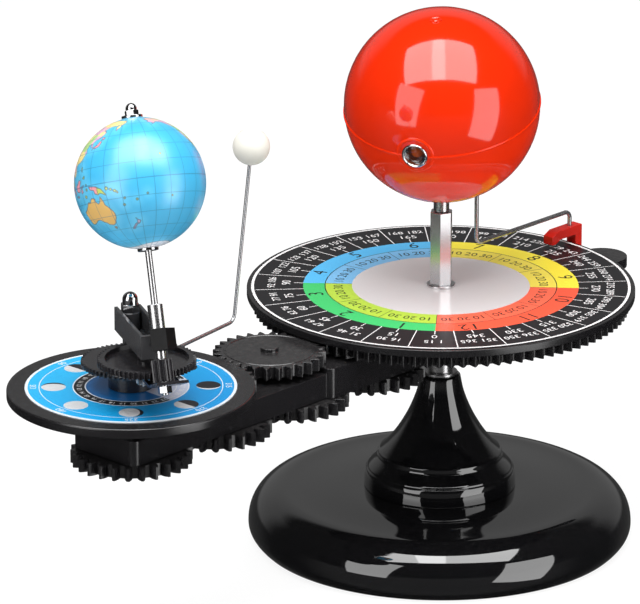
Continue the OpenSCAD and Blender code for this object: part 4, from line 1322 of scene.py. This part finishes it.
@dataclass
class ArmAndGears:
    """Arm housing, the gears on it, the pointer and the phase plate's pillars."""

    edge: float = 0.9
    tooth_edge: float = 0.35
    sunk: float = 0.3
    lip_r: float = 24.6
    lip_half: float = 0.9
    lip_flat: float = 0.3
    lip_rise: float = 0.3
    hub_r: float = 5.2
    hub_taper: float = 0.3
    hub_rise: float = 1.0
    screw_gap: float = 0.4
    screw_line: tuple[Point, ...] = ((0.35, 1.25), (2.1, 1.1), (3.0, 0.5))
    slot_half: float = 9.0
    slot_turn: float = 20.0

    def build(self) -> None:
        """Builds and dresses the arm."""
        dress("arm_housing", SATIN_BLACK, self.edge, 3)
        dress("arm_cover", SATIN_BLACK, 0.25)
        coat("arm_screws", STEEL)
        coat("arm_bushes", BRASS)
        dress("axle_pins", GEAR_BLACK, 0.3)
        dress("plate_pillars", SATIN_BLACK, 0.2)
        for node in ("chain_gear_a", "chain_gear_b", "chain_gear_c", "top_idler", "hidden_idler",
                     "stage_gear"):
            dress(node, GEAR_BLACK, self.tooth_edge)
        dress("date_pointer", POINTER_RED, 0.5, 3)
        self._idler_cap()

    def _idler_cap(self) -> None:
        """Hub and low lip of the top idler, with its crosshead screw."""
        low, high = millimetres("top_idler")
        middle = (low + high) / 2
        inner, outer = self.screw_line[0][0], self.screw_line[-1][0]
        foot, seat, rim = -self.sunk, outer + self.screw_gap, self.lip_r
        lip = [(rim - self.lip_half, foot), (rim - self.lip_flat, self.lip_rise),
               (rim + self.lip_flat, self.lip_rise), (rim + self.lip_half, foot)]
        hub = [(self.hub_r, foot), (self.hub_r - self.hub_taper, self.hub_rise), (seat, self.hub_rise),
               (seat, foot)]
        head = [(inner, foot), *self.screw_line, (outer, foot)]
        span = math.radians(90 - 2 * self.slot_half)
        starts = [90 * k + self.slot_half + self.slot_turn for k in range(4)]
        quarters = [move(lathe(head, 10, turn=span), about("Z", start)) for start in starts]
        spot = shifted(middle.x, middle.y, high.z)
        rings = move(joined(lathe(hub, 64), lathe(lip, 128)), spot)
        place(rings, "idler_rings", GEAR_BLACK, "idler_top")
        place(move(joined(*quarters), spot), "idler_screw", CHARCOAL, "idler_top")


@dataclass
class PhaseDial:
    """Phase plate with its printed film and plain degree numbers."""

    number_at: float = 0.918
    number_height: float = 3.4
    mark_at: float = 0.487
    mark_height: float = 2.6
    marks: int = 30

    def build(self) -> None:
        """Builds and dresses the plate."""
        dress("phase_plate", DIAL_BLACK, 1.1, 4)
        low, high = millimetres("phase_label")
        middle = (low + high) / 2
        rim = high.y
        layout = PhasePrint("phase_print", middle.x * MM, middle.y * MM, rim)
        coat("phase_label", layout)
        ring = NumberRing((middle.x, middle.y), high.z)
        step = 360 / layout.moons
        numerals = [Numeral(f"{round(k * step)}", self.number_at * rim, k * step, self.number_height)
                    for k in range(layout.moons)]
        gap = 360 / self.marks
        numerals += [Numeral(f"{k + 1}", self.mark_at * rim, gap * k, self.mark_height)
                     for k in range(self.marks)]
        place(ring.mesh(numerals), "phase_numbers", WHITE_INK, "arm")


@dataclass
class MoonOnWire:
    """Moon ball, its wire, and the hub and month gear that carry it."""

    def build(self) -> None:
        """Builds and dresses the Moon."""
        dress("moon_sleeve", GEAR_BLACK, 0.3)
        dress("month_gear", CHARCOAL, 0.15)
        coat("moon_wire", WIRE_STEEL)
        low, high = millimetres("moon_ball")
        middle = (low + high) / 2
        bm = bmesh.new()
        radius = (high.z - low.z) / 2 * MM
        bmesh.ops.create_icosphere(bm, subdivisions=6, radius=radius, matrix=shifted(*middle))
        place(bm, "moon", MOON_WHITE, "moon", ("moon_ball",), sharp=60.0)


@dataclass
class EarthStage:
    """Bracket, block, relay gear and shaft parts that carry the Earth."""

    def build(self) -> None:
        """Builds and dresses the stage."""
        dress("stage_plate", CHARCOAL, 0.3)
        dress("tilt_bracket", BRACKET_GREY, 0.4, 3)
        dress("bearing_block", BLOCK_BLACK, 0.5, 3)
        dress("relay_gear", CHARCOAL, 0.15)
        dress("earth_pinion", CHARCOAL, 0.12)
        dress("relay_pinion", STEEL, 0.1)
        dress("bracket_nut", CHROME, 0.3, 3)
        dress("shaft_tube", SATIN_STEEL, 0.3, 3)
        dress("earth_nuts", CHROME, 0.2, 3)
        dress("earth_washers", CHROME, 0.3, 3)
        coat("earth_shaft", SATIN_STEEL)
        coat("central_shaft", STEEL)


@dataclass(frozen=True)
class Land:
    """One coast as longitude and latitude in degrees, with its tint and how patchy it is.

    A land with a swing is drawn up to that many degrees further east than it lies, to match the photo.
    """

    tint: Rgb
    patches: float
    coast: tuple[Point, ...]
    swing: float = 0.0

    SWING_FROM = -60.0
    SWING_OVER = 50.0

    def drawn(self) -> tuple[Point, ...]:
        """Swings the coast east, and its western end the most.

        Returns:
            The corners as they are printed.
        """
        return tuple((lon + self.swing * np.clip((self.SWING_FROM - lon) / self.SWING_OVER, 0, 1), lat)
                     for lon, lat in self.coast)


OCHRE: Rgb = (222, 178, 98)
PINK: Rgb = (232, 150, 158)
LIME: Rgb = (190, 204, 96)
LILAC: Rgb = (190, 170, 200)
SAND: Rgb = (236, 212, 150)
SNOW: Rgb = (236, 236, 240)
ICE: Rgb = (238, 240, 244)

LANDS = (
    Land(OCHRE, 0.0, (
        (114, -22), (114, -26), (115, -34), (118, -35), (124, -33), (129, -31.5), (132, -32), (136, -35),
        (138, -35.5), (141, -38), (144, -38.5), (147, -38.5), (150, -37), (153, -32), (153, -27),
        (150, -23), (146, -19), (145, -15), (142.5, -11), (141, -16), (139, -17.5), (136, -15),
        (136.5, -12), (132, -11.5), (129, -15), (126, -14), (122, -18), (119, -20))),
    Land(OCHRE, 0.0, ((145, -41), (148, -41), (148, -43.5), (146, -43.5))),
    Land(PINK, 0.0, (
        (131, -1), (134, -1), (138, -1.7), (141, -2.6), (141, -9), (138, -8), (137, -5), (133, -4))),
    Land(LIME, 0.0, (
        (141, -2.6), (145, -4.5), (147, -6.5), (150, -10.5), (147, -9.5), (144, -8), (141, -9))),
    Land(LILAC, 0.0, (
        (173, -34.5), (175, -36.5), (178.5, -38), (176.5, -41), (175, -41.5), (174, -39.3), (174.7, -37))),
    Land(LILAC, 0.0, (
        (172.7, -40.5), (174, -41.7), (171, -44.5), (170.5, -46), (168.5, -46.7), (166.5, -46), (170, -43))),
    Land(PINK, 1.0, (
        (-9, 37), (-9, 43), (-1, 43.5), (-1.5, 46), (-4.5, 48.5), (2, 51), (8, 54), (8.5, 57), (10.5, 57.5),
        (10, 54), (14, 54), (19, 54.5), (21, 57), (24, 59), (29, 60), (21.5, 61), (25, 65.5), (22, 65.8),
        (17.5, 61), (16, 56.5), (13, 55.5), (11, 59), (6, 58.3), (5, 62), (14, 68), (25, 71), (32, 70),
        (41, 67), (33, 66.5), (38, 64), (44, 66), (60, 69), (68, 68.5), (73, 72.5), (90, 75.5), (104, 77.5),
        (113, 74), (130, 71), (140, 72.5), (158, 70), (166, 69), (171, 66), (168, 62.5), (166, 60),
        (163, 60), (162, 56), (157, 51), (155.5, 57), (163, 62), (155, 59.5), (143, 59.3), (135, 54.5),
        (141, 52), (140, 48), (135.5, 44), (131, 43), (127.5, 40), (129.5, 36), (126.5, 34.5), (126, 37.5),
        (125, 39.5), (121.5, 39), (118, 38.5), (122, 37), (119.5, 35), (122, 31), (119, 25.5), (114, 22.5),
        (108.5, 21.5), (106, 19), (109, 13), (106.5, 10.5), (105, 9), (102, 12.5), (100.5, 13.5),
        (99.5, 10), (103.5, 4), (104, 1.5), (101, 3), (98.5, 8), (97.5, 16.5), (94.5, 16), (92, 21.5),
        (87, 21.5), (80.5, 15.5), (80, 12), (77.5, 8), (74, 15), (72.5, 20), (70, 21), (67, 25), (57, 26),
        (51.5, 28), (48, 30), (51.5, 24.5), (56, 25.5), (59.5, 22.5), (55, 17), (45, 12.8), (43, 13.5),
        (39, 21.5), (35, 28), (34.5, 31.5), (36, 36.5), (30, 36.5), (27, 37.5), (26.5, 40), (31, 41.3),
        (41, 41.5), (38, 45), (39, 47), (34, 46), (33, 44.5), (30.5, 46.5), (28, 44), (28.5, 41),
        (23.5, 40.5), (24, 38), (22.5, 36.5), (19.5, 40), (19, 42), (13.5, 45.5), (12.5, 44), (18.3, 40),
        (16, 38), (12, 42), (9, 44.3), (3.3, 43.2), (3, 42), (0, 39.5), (-2, 36.8), (-5.5, 36))),
    Land(SAND, 1.0, (
        (-6, 35.8), (10, 37.2), (11, 33.5), (19.5, 30.3), (22, 32.8), (32, 31), (34, 27), (37.3, 20.8),
        (43, 12), (51, 11.8), (47, 4.5), (41, -2), (39.2, -8), (40.5, -15), (35, -20), (35.5, -24),
        (32.5, -28), (27, -33.8), (20, -34.7), (18, -32), (15, -27), (12, -17), (13.5, -10), (9, -1),
        (9.5, 4), (4.5, 6.3), (-7.5, 4.4), (-13, 8.5), (-17, 14.7), (-16, 21), (-13, 27.7), (-9.8, 30))),
    Land(LIME, 0.0, ((49.3, -12), (50.3, -15.8), (47, -25), (44, -24), (44.3, -16.5))),
    Land(SAND, 1.0, (
        (-168, 65.7), (-162, 66.5), (-166, 68.5), (-156, 71.3), (-141, 69.7), (-128, 70), (-115, 68.5),
        (-95, 68), (-94, 72), (-85, 69.5), (-81, 67.5), (-87, 64.5), (-94, 61), (-94.5, 58.8), (-92.5, 57),
        (-85, 55.3), (-82.3, 52.8), (-79, 51.5), (-78.8, 54.5), (-76.5, 56.5), (-78.5, 59), (-77.5, 62.5),
        (-70, 61), (-65, 59.5), (-61.5, 56.5), (-56, 52.5), (-59.5, 50.2), (-66.5, 50), (-64.5, 48.5),
        (-65, 46.5), (-60.5, 46.8), (-65.8, 43.6), (-70, 43.7), (-70, 41.7), (-74, 40.5), (-75.5, 35.3),
        (-81, 31.5), (-80.2, 26), (-82, 28), (-84, 30), (-90, 29.3), (-97, 27.5), (-97.5, 22),
        (-94.5, 18.2), (-90.5, 20.8), (-87, 21.3), (-88.5, 16), (-83.5, 15), (-83.7, 11), (-80, 9.2),
        (-77.5, 8.5), (-80, 7.5), (-85.7, 10.3), (-88, 13), (-94, 16.2), (-105.5, 20.2), (-109.5, 25.5),
        (-114.5, 31.3), (-112.5, 28), (-109.5, 23), (-112.3, 26.3), (-115.5, 30.5), (-121, 35),
        (-124.2, 40.3), (-124, 46.5), (-123, 49), (-130.5, 54.5), (-138, 59), (-147, 60.7), (-154, 58.5),
        (-164, 54.8), (-157.5, 58.7), (-165, 61), (-161, 64.5)), swing=14.0),
    Land(SNOW, 0.0, (
        (-45, 60), (-52, 65), (-54, 69.5), (-60, 76), (-70, 77.7), (-60, 81.5), (-35, 83.5), (-18, 80),
        (-20, 73), (-25, 69.5), (-38, 65.5))),
    Land(LIME, 1.0, (
        (-77.5, 8), (-71.5, 12.3), (-62, 10.7), (-52, 4.8), (-50, 0.5), (-44, -2.5), (-35, -6), (-37, -12),
        (-39.5, -18.5), (-41.5, -22.5), (-48.5, -26), (-53.5, -34), (-58, -34.5), (-57, -37.5),
        (-62.3, -39.3), (-65.3, -43), (-66, -47), (-69, -51), (-68.5, -53), (-72.5, -52.5), (-75.3, -47),
        (-73.5, -42), (-73.5, -37), (-71.3, -30), (-70.3, -18.5), (-76, -14), (-81, -6), (-80, -2.5),
        (-78, 2))),
    Land(PINK, 0.0, (
        (130, 31.5), (132, 34), (136, 33.6), (140, 35), (142, 39.5), (140, 41.3), (136.5, 37), (131, 34.5))),
    Land(PINK, 0.0, ((140, 42), (143, 42), (145.5, 43.5), (141.8, 45.4))),
    Land(LIME, 0.0, ((120.5, 18), (122, 17), (121.5, 14), (124, 12.5), (120.5, 14))),
    Land(LIME, 0.0, ((122, 7), (126, 6.5), (126, 9.5))),
    Land(PINK, 0.0, ((109, 1.5), (112, 3), (116.5, 7), (119, 5), (117.5, 1), (116, -4), (111, -3))),
    Land(PINK, 0.0, ((95.5, 5.5), (100, 2), (106, -3), (105.5, -5.8), (101, -2.5))),
    Land(PINK, 0.0, ((105.3, -6.5), (111, -6.7), (114.4, -8), (108, -7.8))),
    Land(PINK, 0.0, ((119.5, -5.5), (119.5, 0.5), (124.5, 1.4), (121, -1), (122.5, -4.5))),
    Land(PINK, 0.0, ((-5.5, 50), (1, 51), (0, 53.5), (-2, 56), (-3, 58.6), (-6, 57), (-4, 54))),
    Land(LILAC, 0.0, ((-24, 65.5), (-14, 65), (-18, 63.4))),
    Land(LIME, 0.0, ((-85, 22), (-77, 20), (-74.5, 20.3), (-80, 23))),
)

# Small islands: longitude, latitude and radius in degrees
ISLANDS = (
    (178, -17.8, 1), (-156, 20, 1.1), (-172, -13.7, 0.8), (165.5, -21.3, 1.2), (159, -8, 1.3),
    (161, -9.6, 1), (167, -15.5, 1), (151, -5.2, 1.6), (155, -6.2, 1.1), (128, -3.2, 1.2), (128, 1, 1.1),
    (125, -9, 1.3), (-149, -17.6, 0.8), (81, 7.5, 1.6), (57, -20, 0.8), (-91, -0.5, 1))


@dataclass
class EarthGlobe:
    """Two printed half globes on the tilted shaft."""

    turn_deg: float = 162.5
    wall: float = 1.6
    seat: float = 0.4
    around: int = 288
    over: int = 144
    ice_from: float = -71.0
    ice_swing: float = 3.0

    SHORE = "shore"
    TINT = "land_tint"

    def build(self) -> None:
        """Builds and dresses the Earth."""
        _, north = millimetres("globe_north")
        south, _ = millimetres("globe_south")
        self.radius = (north.y - south.y) / 2
        joint = next(j for j in frame["joints"] if j["name"] == "earth_spin")
        self.axis = Vector(joint["axis"]).normalized()
        foot = Vector(joint["pos_m"]) / MM
        level = (south.z + north.z) / 2
        self.middle = foot + self.axis * ((level - foot.z) / self.axis.z)
        self.stance = self._stance()
        LOG.info("globe radius %.2f, middle %.2f", self.radius, self.middle.z)
        layout = GlobePrint("globe_print", tuple(self.middle * MM), tuple(self.stance.to_euler()))
        spot = shifted(*self.middle) @ self.stance.to_4x4()
        for name, node, up in (("globe_upper", "globe_north", True), ("globe_lower", "globe_south", False)):
            half = move(self._half(up), spot)
            self._draw_coasts(place(half, name, layout, "earth", (node,), sharp=30.0))

    def _stance(self) -> Matrix:
        """Turns the pole to the shaft and the map to its place.

        Returns:
            The turn, as a 3 by 3 matrix.
        """
        lean = (Vector((0, 0, 1)) - self.axis * self.axis.z).normalized()
        side = self.axis.cross(lean)
        upright = Matrix((lean, side, self.axis)).transposed()
        return upright @ Matrix.Rotation(math.radians(self.turn_deg), 3, "Z")

    def _half(self, up: bool) -> bmesh.types.BMesh:
        """Half globe about the origin, with a flat seat at its pole.

        Args:
            up: Whether it is the northern half.

        Returns:
            The new mesh.
        """
        bm = bmesh.new()
        bmesh.ops.create_uvsphere(bm, u_segments=self.around, v_segments=self.over, radius=self.radius * MM)
        way = 1 if up else -1
        everything = bm.verts[:] + bm.edges[:] + bm.faces[:]
        bmesh.ops.bisect_plane(bm, geom=everything, dist=MERGE_M, plane_co=(0, 0, 0), plane_no=(0, 0, way),
                               clear_inner=True)
        everything = bm.verts[:] + bm.edges[:] + bm.faces[:]
        seat = way * (self.radius - self.seat) * MM
        bmesh.ops.bisect_plane(bm, geom=everything, dist=MERGE_M, plane_co=(0, 0, seat), plane_no=(0, 0, way),
                               clear_outer=True)
        bmesh.ops.solidify(bm, geom=bm.faces[:], thickness=self.wall * MM)
        return bm

    def _draw_coasts(self, piece: bpy.types.Object) -> None:
        """Stores each point's distance from the nearest coast and the tint of the nearest land.

        Args:
            piece: Half globe in its place.
        """
        mesh = piece.data
        spots = np.array([v.co for v in mesh.vertices]) - np.array(self.middle) * MM
        local = spots @ np.array(self.stance)
        local /= np.linalg.norm(local, axis=1)[:, None]
        north = np.degrees(np.arcsin(np.clip(local[:, 2], -1, 1)))
        east = np.degrees(np.arctan2(local[:, 1], local[:, 0]))
        shore = np.full(len(spots), -90.0)
        tint = np.zeros((len(spots), 4))
        for inside, colour, patches in self._grounds(east, north):
            nearer = inside > shore
            shore[nearer] = inside[nearer]
            tint[nearer] = (*linear(colour)[:3], patches)
        distances = mesh.attributes.new(self.SHORE, "FLOAT", "POINT")
        distances.data.foreach_set("value", shore.astype(np.float32))
        tints = mesh.attributes.new(self.TINT, "FLOAT_COLOR", "POINT")
        tints.data.foreach_set("color", tint.astype(np.float32).ravel())

    def _grounds(self, east: np.ndarray, north: np.ndarray) -> Iterator[tuple[np.ndarray, Rgb, float]]:
        """Lands, islands and the southern ice, one after another.

        Args:
            east: Longitudes of the points.
            north: Latitudes of the points.

        Yields:
            Each point's distance inside the shore, with the ground's tint and patchiness.
        """
        for land in LANDS:
            yield self._from_coast(east, north, land.drawn()), land.tint, land.patches
        for lon, lat, size in ISLANDS:
            aside = (east - lon + 180) % 360 - 180
            yield size - np.hypot(aside * np.cos(np.radians(lat)), north - lat), LIME, 0.0
        yield self.ice_from + self.ice_swing * np.sin(np.radians(2 * east)) - north, ICE, 0.0

    @staticmethod
    def _from_coast(east: np.ndarray, north: np.ndarray, coast: Sequence[Point]) -> np.ndarray:
        """Distance in degrees inside a coast, negative outside it.

        Args:
            east: Longitudes of the points.
            north: Latitudes of the points.
            coast: Corners of the land.

        Returns:
            One distance for each point.
        """
        middle = sum(p[0] for p in coast) / len(coast)
        x = (east - middle + 180) % 360 - 180
        shrink = np.cos(np.radians(np.clip(north, -80, 80)))
        least = np.full(len(east), 1e9)
        inside = np.zeros(len(east), bool)
        corners = [(lon - middle, lat) for lon, lat in coast]
        for (x0, y0), (x1, y1) in zip(corners, corners[1:] + corners[:1]):
            dx, dy = x1 - x0, y1 - y0
            run = (dx * shrink) ** 2 + dy**2
            along = np.clip(((x - x0) * dx * shrink**2 + (north - y0) * dy) / run, 0, 1)
            away = np.hypot((x - x0 - along * dx) * shrink, north - y0 - along * dy)
            least = np.minimum(least, away)
            if dy:
                crosses = (y0 > north) != (y1 > north)
                inside ^= crosses & (x < x0 + (north - y0) * dx / dy)
        return np.where(inside, least, -least)


@dataclass(frozen=True)
class Softbox:
    """Large soft lamp, placed in metres from the Sun's middle as the camera sees it."""

    name: str
    right: float
    ahead: float
    above: float
    yaw: float
    pitch: float
    width: float
    height: float
    radiance: float
    roll: float = 0.0


@dataclass
class Studio:
    """Camera, lamps, pale floor and white surroundings."""

    camera_at: tuple[float, float, float] = (-2.6283, -2.3870, 1.3669)
    camera_turn: tuple[float, float, float] = (70.92, 0.0, -46.66)
    lens: float = 376.3
    aim: tuple[float, float, float] = (0.0, 0.0, 0.255)
    softboxes: tuple[Softbox, ...] = (
        Softbox("overhead_softbox", -0.08, 0.25, 1.11, 0.0, 51.0, 1.72, 1.2, 4.4),
        Softbox("overhead_strip", -0.08, 0.248, 1.107, 0.0, 51.0, 0.26, 1.2, 3.0),
        Softbox("left_softbox", -0.99, 1.07, 0.2, -43.0, 32.0, 0.75, 1.26, 2.3),
        Softbox("right_softbox", 1.25, 1.0, 0.03, 51.5, 0.0, 0.94, 1.6, 2.6, roll=-15.0),
    )
    fill: float = 0.26
    backdrop: float = 0.21
    room: float = 0.02
    below: float = 0.05
    front: float = 0.1
    floor_m: float = 5.0
    floor_shadow: float = 0.2
    floor_glow: float = 1.1
    floor_tone: float = 0.8
    floor_sink: float = 0.0002
    behind_mask: Point = (0.45, 0.75)
    low_mask: Point = (0.62, 0.5)
    over_mask: Point = (0.0, 0.12)
    aside_mask: Point = (-0.45, 0.1)

    def build(self) -> None:
        """Sets up the studio."""
        scene = bpy.context.scene
        scene.view_settings.view_transform = "Standard"
        camera = bpy.data.objects.new("camera", bpy.data.cameras.new("camera"))
        scene.collection.objects.link(camera)
        camera.location = self.camera_at
        camera.rotation_euler = [math.radians(a) for a in self.camera_turn]
        camera.data.sensor_fit = "HORIZONTAL"
        camera.data.sensor_width = 36.0
        camera.data.lens = self.lens
        camera.data.clip_end = 50.0
        scene.camera = camera
        turn = math.radians(self.camera_turn[2])
        self.right = Vector((math.cos(turn), math.sin(turn), 0.0))
        self.ahead = Vector((math.sin(turn), -math.cos(turn), 0.0))
        for box in self.softboxes:
            self._lamp(box)
        self._floor()
        self._world()

    def _lamp(self, box: Softbox) -> None:
        """Hangs one softbox, facing the object.

        Args:
            box: Softbox to hang.
        """
        data = bpy.data.lights.new(box.name, "AREA")
        data.shape = "RECTANGLE"
        data.size = box.width
        data.size_y = box.height
        data.energy = box.radiance * math.pi * box.width * box.height
        lamp = bpy.data.objects.new(box.name, data)
        bpy.context.scene.collection.objects.link(lamp)
        up = Vector((0.0, 0.0, 1.0))
        yaw, pitch = math.radians(box.yaw), math.radians(box.pitch)
        level = self.ahead * math.cos(yaw) + self.right * math.sin(yaw)
        away = level * math.cos(pitch) + up * math.sin(pitch)
        side = up.cross(level)
        stance = Matrix((side, away.cross(side), away)).transposed() @ about("Z", box.roll).to_3x3()
        lamp.location = Vector(self.aim) + self.right * box.right + self.ahead * box.ahead + up * box.above
        lamp.rotation_euler = stance.to_euler()
        lamp.visible_camera = False

    def _floor(self) -> None:
        """Pale round floor that keeps a faint shadow and is left out of mirror images."""
        bm = bmesh.new()
        bmesh.ops.create_circle(bm, cap_ends=True, segments=96, radius=self.floor_m,
                                matrix=Matrix.Translation((0, 0, -self.floor_sink)))
        mesh = bpy.data.meshes.new("floor")
        bm.to_mesh(mesh)
        bm.free()
        material = bpy.data.materials.new("pale_floor")
        material.use_nodes = True
        material.node_tree.nodes.clear()
        graph = Graph(material.node_tree)
        path = graph.add("LightPath").outputs
        shiny = graph.calc("MAXIMUM", path["Is Glossy Ray"], path["Is Transmission Ray"])
        matte = graph.add("BsdfDiffuse", {"Color": self._grey(self.floor_tone)}).outputs[0]
        glow = graph.add("Emission", {"Color": self._grey(1.0), "Strength": self.floor_glow}).outputs[0]
        share = graph.calc("MULTIPLY", path["Is Camera Ray"], 1 - self.floor_shadow)
        blend = graph.add("MixShader", {0: share, 1: matte, 2: glow}).outputs[0]
        clear = graph.add("BsdfTransparent").outputs[0]
        surface = graph.add("MixShader", {0: shiny, 1: blend, 2: clear}).outputs[0]
        graph.add("OutputMaterial", {"Surface": surface})
        mesh.materials.append(material)
        floor = bpy.data.objects.new("floor", mesh)
        bpy.context.scene.collection.objects.link(floor)
        floor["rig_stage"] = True

    def _world(self) -> None:
        """White surroundings, with a darker room behind and above the camera for the mirror finishes."""
        world = bpy.data.worlds.new("studio")
        bpy.context.scene.world = world
        world.use_nodes = True
        world.node_tree.nodes.clear()
        graph = Graph(world.node_tree)
        path = graph.add("LightPath").outputs
        way = graph.add("TexCoord").outputs["Generated"]
        facing = graph.add("VectorMath", {0: way, 1: tuple(-self.ahead)},
                           operation="DOT_PRODUCT").outputs["Value"]
        height = graph.add("SeparateXYZ", {0: way}).outputs[2]
        behind = graph.ramp(facing, *self.behind_mask)
        low = graph.ramp(height, *self.low_mask)
        over = graph.ramp(height, *self.over_mask)
        aside = graph.ramp(facing, *self.aside_mask)
        far = graph.mix(over, self._grey(self.below), self._grey(self.backdrop))
        table = graph.mix(aside, self._grey(self.front), self._grey(self.room))
        near = graph.mix(over, table, self._grey(self.room))
        seen = graph.mix(graph.calc("MULTIPLY", behind, low), near, far)
        shiny = graph.calc("MAXIMUM", path["Is Glossy Ray"], path["Is Transmission Ray"])
        lit = graph.mix(shiny, self._grey(self.fill), seen)
        tone = graph.mix(path["Is Camera Ray"], lit, self._grey(1.0))
        surroundings = graph.add("Background", {"Color": tone, "Strength": 1.0}).outputs[0]
        graph.add("OutputWorld", {"Surface": surroundings})

    @staticmethod
    def _grey(level: float) -> tuple[float, float, float, float]:
        """Neutral colour of a given level."""
        return (level, level, level, 1.0)


def corners(box: object) -> list[list[float]]:
    """A box's corners as plain lists of numbers."""
    return [[float(c) for c in corner] for corner in box]


def main() -> None:
    """Builds every sub-assembly."""
    logging.basicConfig(level=logging.INFO, format="%(name)s: %(message)s")
    cad_box = corners(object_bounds())
    Studio().build()
    Stand().build()
    CalendarDial().build()
    SunGlobe().build()
    ArmAndGears().build()
    PhaseDial().build()
    MoonOnWire().build()
    EarthStage().build()
    EarthGlobe().build()
    {"cad": cad_box, "visual": corners(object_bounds())}


if __name__ == "__main__":
    main()
